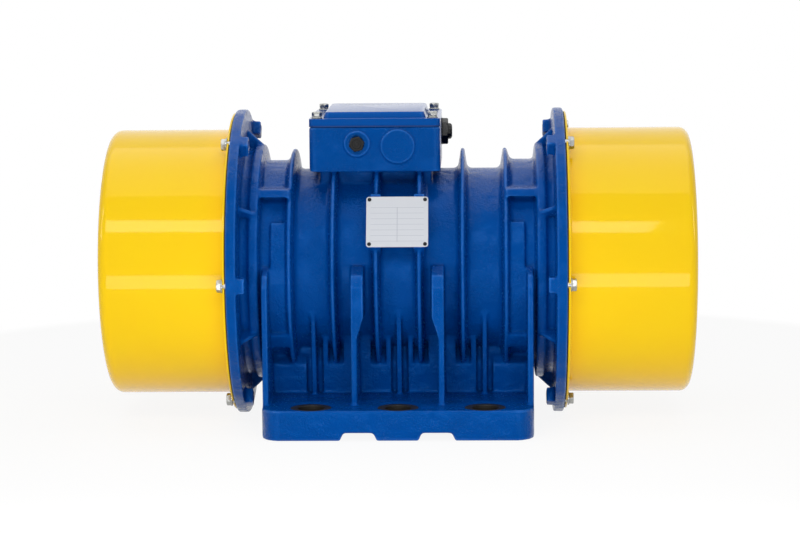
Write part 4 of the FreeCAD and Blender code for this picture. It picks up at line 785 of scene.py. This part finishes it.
def raised_face(bm, spot, radius, hole, proud):
    """A round cast pad with a soft rim and a groove at its foot, or a ring where it has a hole."""
    inner = [(0, hole), (proud - 1 * MM, hole), (proud, hole + 1 * MM)] if hole else [(proud, 0)]
    level = [(proud, (hole + radius) / 2), (proud, radius - BOSS_ROUND * 2)]
    rim = [(proud, radius - BOSS_ROUND), (proud - BOSS_ROUND * 0.3, radius - BOSS_ROUND * 0.3),
           (proud - BOSS_ROUND, radius), (0, radius + 0.6 * MM), (-1 * MM, radius + 1.2 * MM)]
    back = [(-1 * MM, hole)] if hole else [(-1 * MM, 0)]
    turned(bm, inner + level + rim + back, FACE_SEGMENTS, spot, FRONT)


class MOTOR_OT_entry_faces(bpy.types.Operator):
    """Raised cast faces round the front cable entry and over the blank one"""
    bl_idname = "motor.entry_faces"
    bl_label = "Entry faces"

    def execute(self, context):
        low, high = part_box("front_entry_plug")
        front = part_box("terminal_box_lid")[0].y
        plug = Vector(((low.x + high.x) / 2, front, (low.z + high.z) / 2))
        bm = bmesh.new()
        raised_face(bm, plug, BOSS_RADIUS, PLUG_HALF_FLATS * 1.02, BOSS_PROUD)
        raised_face(bm, Vector((0, front, BLANK_HEIGHT)), BLANK_RADIUS, 0, BOSS_PROUD)
        piece("entry_faces", to_mesh(bm, "entry_faces", PAD_CREASE), "cast_enamel")
        return {"FINISHED"}


GLAND_BORE = 8 * MM
GLAND_THREAD = 12.4 * MM
GLAND_COLLAR = 10 * MM
GLAND_FLATS = 0.86
CABLE_HOLE = 6.5 * MM


class MOTOR_OT_cable_gland(bpy.types.Operator):
    """Hexagon gland body and fluted clamping nut on the side of the terminal box"""
    bl_idname = "motor.cable_gland"
    bl_label = "Cable gland"

    def execute(self, context):
        low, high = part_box("cable_gland_body")
        outer = (high.z - low.z) / 2
        middle = Vector((0, (low.y + high.y) / 2, (low.z + high.z) / 2))
        nut_low, nut_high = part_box("cable_gland_nut")
        nut = (nut_high.z - nut_low.z) / 2
        collar = high.x - GLAND_COLLAR
        half_flats = outer * GLAND_FLATS
        bm = bmesh.new()
        turned(bm, [
            (low.x, GLAND_BORE), (low.x, GLAND_THREAD), (collar, GLAND_THREAD), (collar, outer),
            (collar + 2 * MM, outer), (collar + 2.4 * MM, outer, half_flats),
            (high.x - 1.2 * MM, outer, half_flats), (high.x, outer * 0.9, half_flats), (high.x, GLAND_BORE)],
            HEX_SEGMENTS, middle, RIGHT)
        piece("gland_body", to_mesh(bm, "gland_body", MOULDED_CREASE), "black_glass_filled_nylon",
              ["cable_gland_body"])
        bm = bmesh.new()
        turned(bm, [
            (nut_low.x, CABLE_HOLE), (nut_low.x, nut * 0.96), (nut_low.x + 0.5 * MM, nut * 0.97, "fluted"),
            (nut_high.x - 2.5 * MM, nut * 0.96, "fluted"), (nut_high.x - 0.8 * MM, nut * 0.84),
            (nut_high.x, nut * 0.7), (nut_high.x, CABLE_HOLE)], HEX_SEGMENTS, middle, RIGHT)
        piece("gland_nut", to_mesh(bm, "gland_nut", MOULDED_CREASE), "black_glass_filled_nylon",
              ["cable_gland_nut"])
        return {"FINISHED"}


# ---------------------------------------------------------------- nameplate

PLATE_TILT = math.radians(27)
PLATE_OUT = Vector((0, -math.cos(PLATE_TILT), math.sin(PLATE_TILT)))
PLATE_UP = Vector((0, math.sin(PLATE_TILT), math.cos(PLATE_TILT)))
PLATE_THICK = 1.2 * MM
# taken off the plate's upper edge
PLATE_TRIM = 5.0 * MM
PLATE_CORNER = 4 * MM
PLATE_EDGE = 0.35 * MM


class MOTOR_OT_nameplate(bpy.types.Operator):
    """Nameplate with rounded corners and a blank ruled print"""
    bl_idname = "motor.nameplate"
    bl_label = "Nameplate"

    def execute(self, context):
        low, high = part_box("nameplate")
        half_long = (high.x - low.x) / 2
        full_high = ((high.z - low.z) - PLATE_THICK * math.sin(PLATE_TILT)) / math.cos(PLATE_TILT)
        half_high = (full_high - PLATE_TRIM) / 2
        middle = (low + high) / 2 - PLATE_UP * PLATE_TRIM / 2

        def to_world(along, up, out):
            return middle + Vector((along, 0, 0)) + PLATE_UP * up + PLATE_OUT * out

        corners = [(half_long * x, half_high * y, PLATE_CORNER)
                   for x, y in ((-1, -1), (1, -1), (1, 1), (-1, 1))]
        bm = bmesh.new()
        prism(bm, rounded(corners, ARC_STEPS), -PLATE_THICK / 2, PLATE_THICK / 2, to_world)
        mesh = bevelled(to_mesh(bm, "nameplate_print"), PLATE_EDGE, 2)
        layer = mesh.uv_layers.new(name="plate")
        for loop in mesh.loops:
            offset = mesh.vertices[loop.vertex_index].co - middle
            layer.data[loop.index].uv = (offset.x / half_long / 2 + 0.5,
                                         offset.dot(PLATE_UP) / half_high / 2 + 0.5)
        piece("nameplate_print", mesh, "plate_print", ["nameplate"])
        return {"FINISHED"}


# ---------------------------------------------------------------- screws, washers, rivets and bolt seats

def hex_head_shape(half, head, shank, length):
    """A hexagon screw standing on the origin, chamfered at its top, with its shank below."""
    bm = bmesh.new()
    turned(bm, [
        (head - 0.3 * MM, 0), (head - 0.3 * MM, half * 0.62), (head, half * 0.70), (head, half * 0.93),
        (head - 0.35 * MM, half * 1.02, half), (head - 0.7 * MM, half * 1.09, half),
        (head - 1.1 * MM, half * 1.16, half), (0.4 * MM, half * 1.16, half), (0, half * 1.1, half * 0.97),
        (0, shank), (-length, shank), (-length, 0)], SCREW_SEGMENTS)
    return bm


def washer_outline(outer, hole, thick):
    """Section of a punched flat washer, its upper edge rolled over."""
    return [(0, hole), (0, outer - 0.2 * MM), (0.3 * MM, outer), (thick - 0.5 * MM, outer),
            (thick, outer - 0.6 * MM), (thick, hole + 0.2 * MM)]


def spring_washer_outline(outer, hole, thick):
    """Section of a flat washer with a spring washer on it."""
    plain = washer_outline(outer, hole, 1.6 * MM)[:-1]
    coil = outer * 0.84
    return plain + [(1.6 * MM, coil - 0.3 * MM), (1.9 * MM, coil), (thick - 0.4 * MM, coil),
                    (thick, coil - 0.4 * MM), (thick, hole + 0.2 * MM)]


def upward(middle):
    return (0, 0, 1)


def endward(middle):
    return (math.copysign(1, middle.x), 0, 0)


WASHER_THICK = 2 * MM
LID_STACK = 3.8 * MM
WASHER_HOLE = 5.2 * MM
THREAD = 5 * MM
LID_SHANK = 34 * MM
CAP_SHANK = 30 * MM
SCREW_SEGMENTS = 48
WASHER_SEGMENTS = 40


class MOTOR_OT_screws(bpy.types.Operator):
    """Zinc-plated hexagon screws and washers on the lid and both caps"""
    bl_idname = "motor.screws"
    bl_label = "Screws and washers"

    def execute(self, context):
        settings = context.scene.motor_fasteners
        groups = (
            ("lid_bolts", "lid_bolt_washers", upward, spring_washer_outline, settings.lid_washer,
             LID_STACK, settings.lid_flats, settings.lid_head, LID_SHANK),
            ("cap_screws", "cap_screw_washers", endward, washer_outline, settings.washer,
             WASHER_THICK, settings.across_flats, settings.head, CAP_SHANK))
        for screws, rings, direction, section, outer, thick, flats, head, length in groups:
            spots = seats(rings, direction)
            tops = [(spot + axis * thick, axis) for spot, axis in spots]
            bm = bmesh.new()
            turned(bm, section(outer, WASHER_HOLE, thick), WASHER_SEGMENTS)
            repeated(rings + "_rolled", bm, spots, "bright_zinc_plate", [rings])
            repeated(screws + "_hexagon", hex_head_shape(flats / 2, head, THREAD, length), tops,
                     "bright_zinc_plate", [screws], math.pi / 3)
        return {"FINISHED"}


RIVET_DOME = 0.6
RIVET_STEPS = 6
RIVET_SEGMENTS = 32
RIVET_FOOT = 0.2 * MM


def seats_on_plate():
    """Rivet places on the plate's face, the upper ones lowered with its trimmed edge."""
    low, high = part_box("nameplate")
    plate = (low + high) / 2
    result = []
    for foot, top in islands("nameplate_rivets"):
        middle = (foot + top) / 2
        lift = plate.dot(PLATE_OUT) + PLATE_THICK / 2 - middle.dot(PLATE_OUT)
        drop = PLATE_TRIM if middle.z > plate.z else 0
        result.append((middle + PLATE_OUT * lift - PLATE_UP * drop, PLATE_OUT))
    return result


class MOTOR_OT_rivets(bpy.types.Operator):
    """Domed drive rivets in the nameplate's corners"""
    bl_idname = "motor.rivets"
    bl_label = "Nameplate rivets"

    def execute(self, context):
        radius = context.scene.motor_fasteners.rivet
        angles = [math.pi / 2 * i / RIVET_STEPS for i in range(RIVET_STEPS + 1)]
        dome = [(radius * RIVET_DOME * math.cos(angle), radius * math.sin(angle)) for angle in angles]
        bm = bmesh.new()
        turned(bm, dome + [(-RIVET_FOOT, radius), (-RIVET_FOOT, 0)], RIVET_SEGMENTS)
        repeated("nameplate_rivets_domed", bm, seats_on_plate(), "blackened_steel",
                 ["nameplate_rivets"])
        return {"FINISHED"}


SEAT_HEIGHT = 41.0 * MM
SEAT_RADIUS = 31.6 * MM
SEAT_SKIN = 0.5 * MM
SLEEVE_SKIN = 0.6 * MM


class MOTOR_OT_bolt_seats(bpy.types.Operator):
    """Machined faces and bores of the six foot holes"""
    bl_idname = "motor.bolt_seats"
    bl_label = "Foot bolt seats"

    def execute(self, context):
        pattern = {mount["name"]: mount["dims"] for mount in frame["record"]["mounts"]}
        corner = pattern["foot_corner_bolts"]
        hole = corner["hole_r_mm"] * MM
        half_x = corner["spacing_x_mm"] / 2 * MM
        half_y = corner["spacing_y_mm"] / 2 * MM
        spots = [(Vector((half_x * i, half_y * side, SEAT_HEIGHT)), Vector((0, 0, 1)))
                 for i in (-1, 0, 1) for side in (-1, 1)]
        low = -SEAT_HEIGHT + 0.5 * MM
        hole -= SLEEVE_SKIN
        bm = bmesh.new()
        turned(bm, [
            (SEAT_SKIN - 1 * MM, hole), (SEAT_SKIN, hole + 1 * MM), (SEAT_SKIN, SEAT_RADIUS - 0.5 * MM),
            (0, SEAT_RADIUS), (-2 * MM, SEAT_RADIUS), (-2 * MM, hole + 2 * MM), (low, hole + 2 * MM),
            (low, hole)], FACE_SEGMENTS)
        repeated("foot_bolt_seats", bm, spots, "machined_iron")
        return {"FINISHED"}


class MOTOR_OT_inner_parts(bpy.types.Operator):
    """Finishes of the gaskets, the terminal board and everything inside the barrel and the caps"""
    bl_idname = "motor.inner_parts"
    bl_label = "Inner parts"

    def execute(self, context):
        for name, node in frame["nodes"].items():
            end, _, rest = name.partition("_")
            plain = rest if end in ENDS else name
            if plain in NODE_FINISH:
                for slot in node.material_slots:
                    slot.material = material_of(NODE_FINISH[plain])
            elif not node.hide_render:
                raise RuntimeError("no finish for " + name)
        return {"FINISHED"}


# ---------------------------------------------------------------- stage

def softbox(name, position, target, width, height, power):
    light = bpy.data.lights.new(name, "AREA")
    light.shape = "RECTANGLE"
    light.size = width
    light.size_y = height
    light.energy = power
    obj = bpy.data.objects.new(name, light)
    bpy.context.collection.objects.link(obj)
    obj.location = position
    obj.rotation_mode = "QUATERNION"
    obj.rotation_quaternion = (Vector(target) - Vector(position)).to_track_quat("-Z", "Y")


FLOOR_SIZE = 12
FLOOR_DROP = 0.2 * MM
# the floor turns white between these distances from the object, and is nearly so under it
FADE_FROM, FADE_TO = 0.5, 1.1
LEAST_GLOW = 0.9
WORLD_FILL = 0.14


def floor_surface(tree, coords):
    """Matt white studio floor that melts into a white background away from the object."""
    distance = add(tree, "ShaderNodeVectorMath", {0: coords}, operation="LENGTH").outputs["Value"]
    away = add(tree, RANGE, {"Value": distance, **span(FADE_FROM, FADE_TO, 0.0, 1.0)})
    paint = add(tree, "ShaderNodeBsdfDiffuse", {"Color": srgb("#f4f4f4")})
    glow = add(tree, "ShaderNodeEmission", {"Strength": 1.0})
    path = add(tree, "ShaderNodeLightPath").outputs
    seen = add(tree, MATH, {0: path["Is Camera Ray"], 1: path["Is Glossy Ray"]}, operation="MAXIMUM")
    share = add(tree, MATH, {0: away, 1: LEAST_GLOW}, operation="MAXIMUM")
    share = add(tree, MATH, {0: seen, 1: share}, operation="MULTIPLY")
    return add(tree, "ShaderNodeMixShader", {0: share, 1: paint, 2: glow})


def white_world():
    """White surroundings for camera, gloss and glass rays, and a plain soft level for the rest."""
    world = bpy.data.worlds.new("studio")
    world.use_nodes = True
    tree = world.node_tree
    tree.nodes.clear()
    path = add(tree, "ShaderNodeLightPath").outputs
    seen = add(tree, MATH, {0: path["Is Camera Ray"], 1: path["Is Transmission Ray"]}, operation="MAXIMUM")
    seen = add(tree, MATH, {0: seen, 1: path["Is Glossy Ray"]}, operation="MAXIMUM")
    strength = add(tree, RANGE, {"Value": seen, **span(0.0, 1.0, WORLD_FILL, 1.0)})
    light = add(tree, "ShaderNodeBackground", {"Strength": strength, "Color": (1, 1, 1, 1)})
    add(tree, "ShaderNodeOutputWorld", {"Surface": light})
    return world


# Turn, dip and roll of the camera, in radians.
CAMERA_TURN, CAMERA_DIP, CAMERA_ROLL = -0.0302, -0.1342, -0.0087
VIEW_REACH = 50


class MOTOR_OT_stage(bpy.types.Operator):
    """White floor, softboxes and the camera"""
    bl_idname = "motor.stage"
    bl_label = "Stage"

    def execute(self, context):
        scene = context.scene
        settings = scene.motor_stage
        bm = bmesh.new()
        bmesh.ops.create_grid(bm, x_segments=1, y_segments=1, size=FLOOR_SIZE)
        floor = bpy.data.objects.new("studio_floor", bpy.data.meshes.new("studio_floor"))
        bm.to_mesh(floor.data)
        bm.free()
        floor.location.z = -FLOOR_DROP
        floor.data.materials.append(new_material("matt_white_floor", floor_surface))
        context.collection.objects.link(floor)
        scene.world = white_world()
        softboxes = (
            ("low_front_softbox", (0.0, -0.85, 0.10), (0, 0, 0.04), 1.2, 0.16, settings.fill_power),
            ("front_strip", (-0.2, -1.65, 1.4), AXIS, 1.8, 0.34, settings.key_power),
            ("left_softbox", (-2.4, -0.6, 1.2), AXIS, 0.3, 0.9, settings.side_power),
            ("right_softbox", (2.4, -0.6, 1.2), AXIS, 0.3, 0.9, settings.side_power),
            ("top_softbox", (0, 0.1, 2.4), AXIS, 3.4, 2.4, settings.top_power))
        for box in softboxes:
            softbox(*box)
        camera = bpy.data.objects.new("camera", bpy.data.cameras.new("camera"))
        context.collection.objects.link(camera)
        camera.data.lens = settings.lens
        camera.data.clip_end = VIEW_REACH
        level = math.cos(CAMERA_DIP)
        ahead = Vector((math.sin(CAMERA_TURN) * level, math.cos(CAMERA_TURN) * level, math.sin(CAMERA_DIP)))
        camera.location = (settings.offset, -settings.distance, AXIS_HEIGHT + settings.rise)
        camera.rotation_mode = "QUATERNION"
        camera.rotation_quaternion = ahead.to_track_quat("-Z", "Y") @ Quaternion((0, 0, 1), CAMERA_ROLL)
        scene.camera = camera
        scene.view_settings.view_transform = "Standard"
        return {"FINISHED"}


OPERATORS = (
    MOTOR_OT_cast_body,
    MOTOR_OT_end_caps,
    MOTOR_OT_box_lid,
    MOTOR_OT_entry_plug,
    MOTOR_OT_entry_faces,
    MOTOR_OT_cable_gland,
    MOTOR_OT_nameplate,
    MOTOR_OT_screws,
    MOTOR_OT_rivets,
    MOTOR_OT_bolt_seats,
    MOTOR_OT_inner_parts,
    MOTOR_OT_stage,
)
SETTINGS = {"motor_casting": MotorCasting, "motor_caps": MotorCaps, "motor_fasteners": MotorFasteners,
            "motor_stage": MotorStage}


class MOTOR_PT_dressing(bpy.types.Panel):
    """Sizes and colours of the motor's dressing, and the steps that make it"""
    bl_idname = "MOTOR_PT_dressing"
    bl_label = "Vibration motor"
    bl_space_type = "VIEW_3D"
    bl_region_type = "UI"
    bl_category = "Motor"

    def draw(self, context):
        for operator in OPERATORS:
            self.layout.operator(operator.bl_idname)
        for name in SETTINGS:
            group = getattr(context.scene, name)
            column = self.layout.column(align=True)
            for field in group.bl_rna.properties:
                if not field.is_readonly and field.identifier != "name":
                    column.prop(group, field.identifier)


CLASSES = (*SETTINGS.values(), *OPERATORS, MOTOR_PT_dressing)


def register():
    for cls in CLASSES:
        bpy.utils.register_class(cls)
    for name, group in SETTINGS.items():
        setattr(bpy.types.Scene, name, PointerProperty(type=group))


def unregister():
    for name in SETTINGS:
        delattr(bpy.types.Scene, name)
    for cls in reversed(CLASSES):
        bpy.utils.unregister_class(cls)


def main():
    register()
    for operator in OPERATORS:
        group, name = operator.bl_idname.split(".")
        getattr(getattr(bpy.ops, group), name)()


if __name__ == "__main__":
    main()
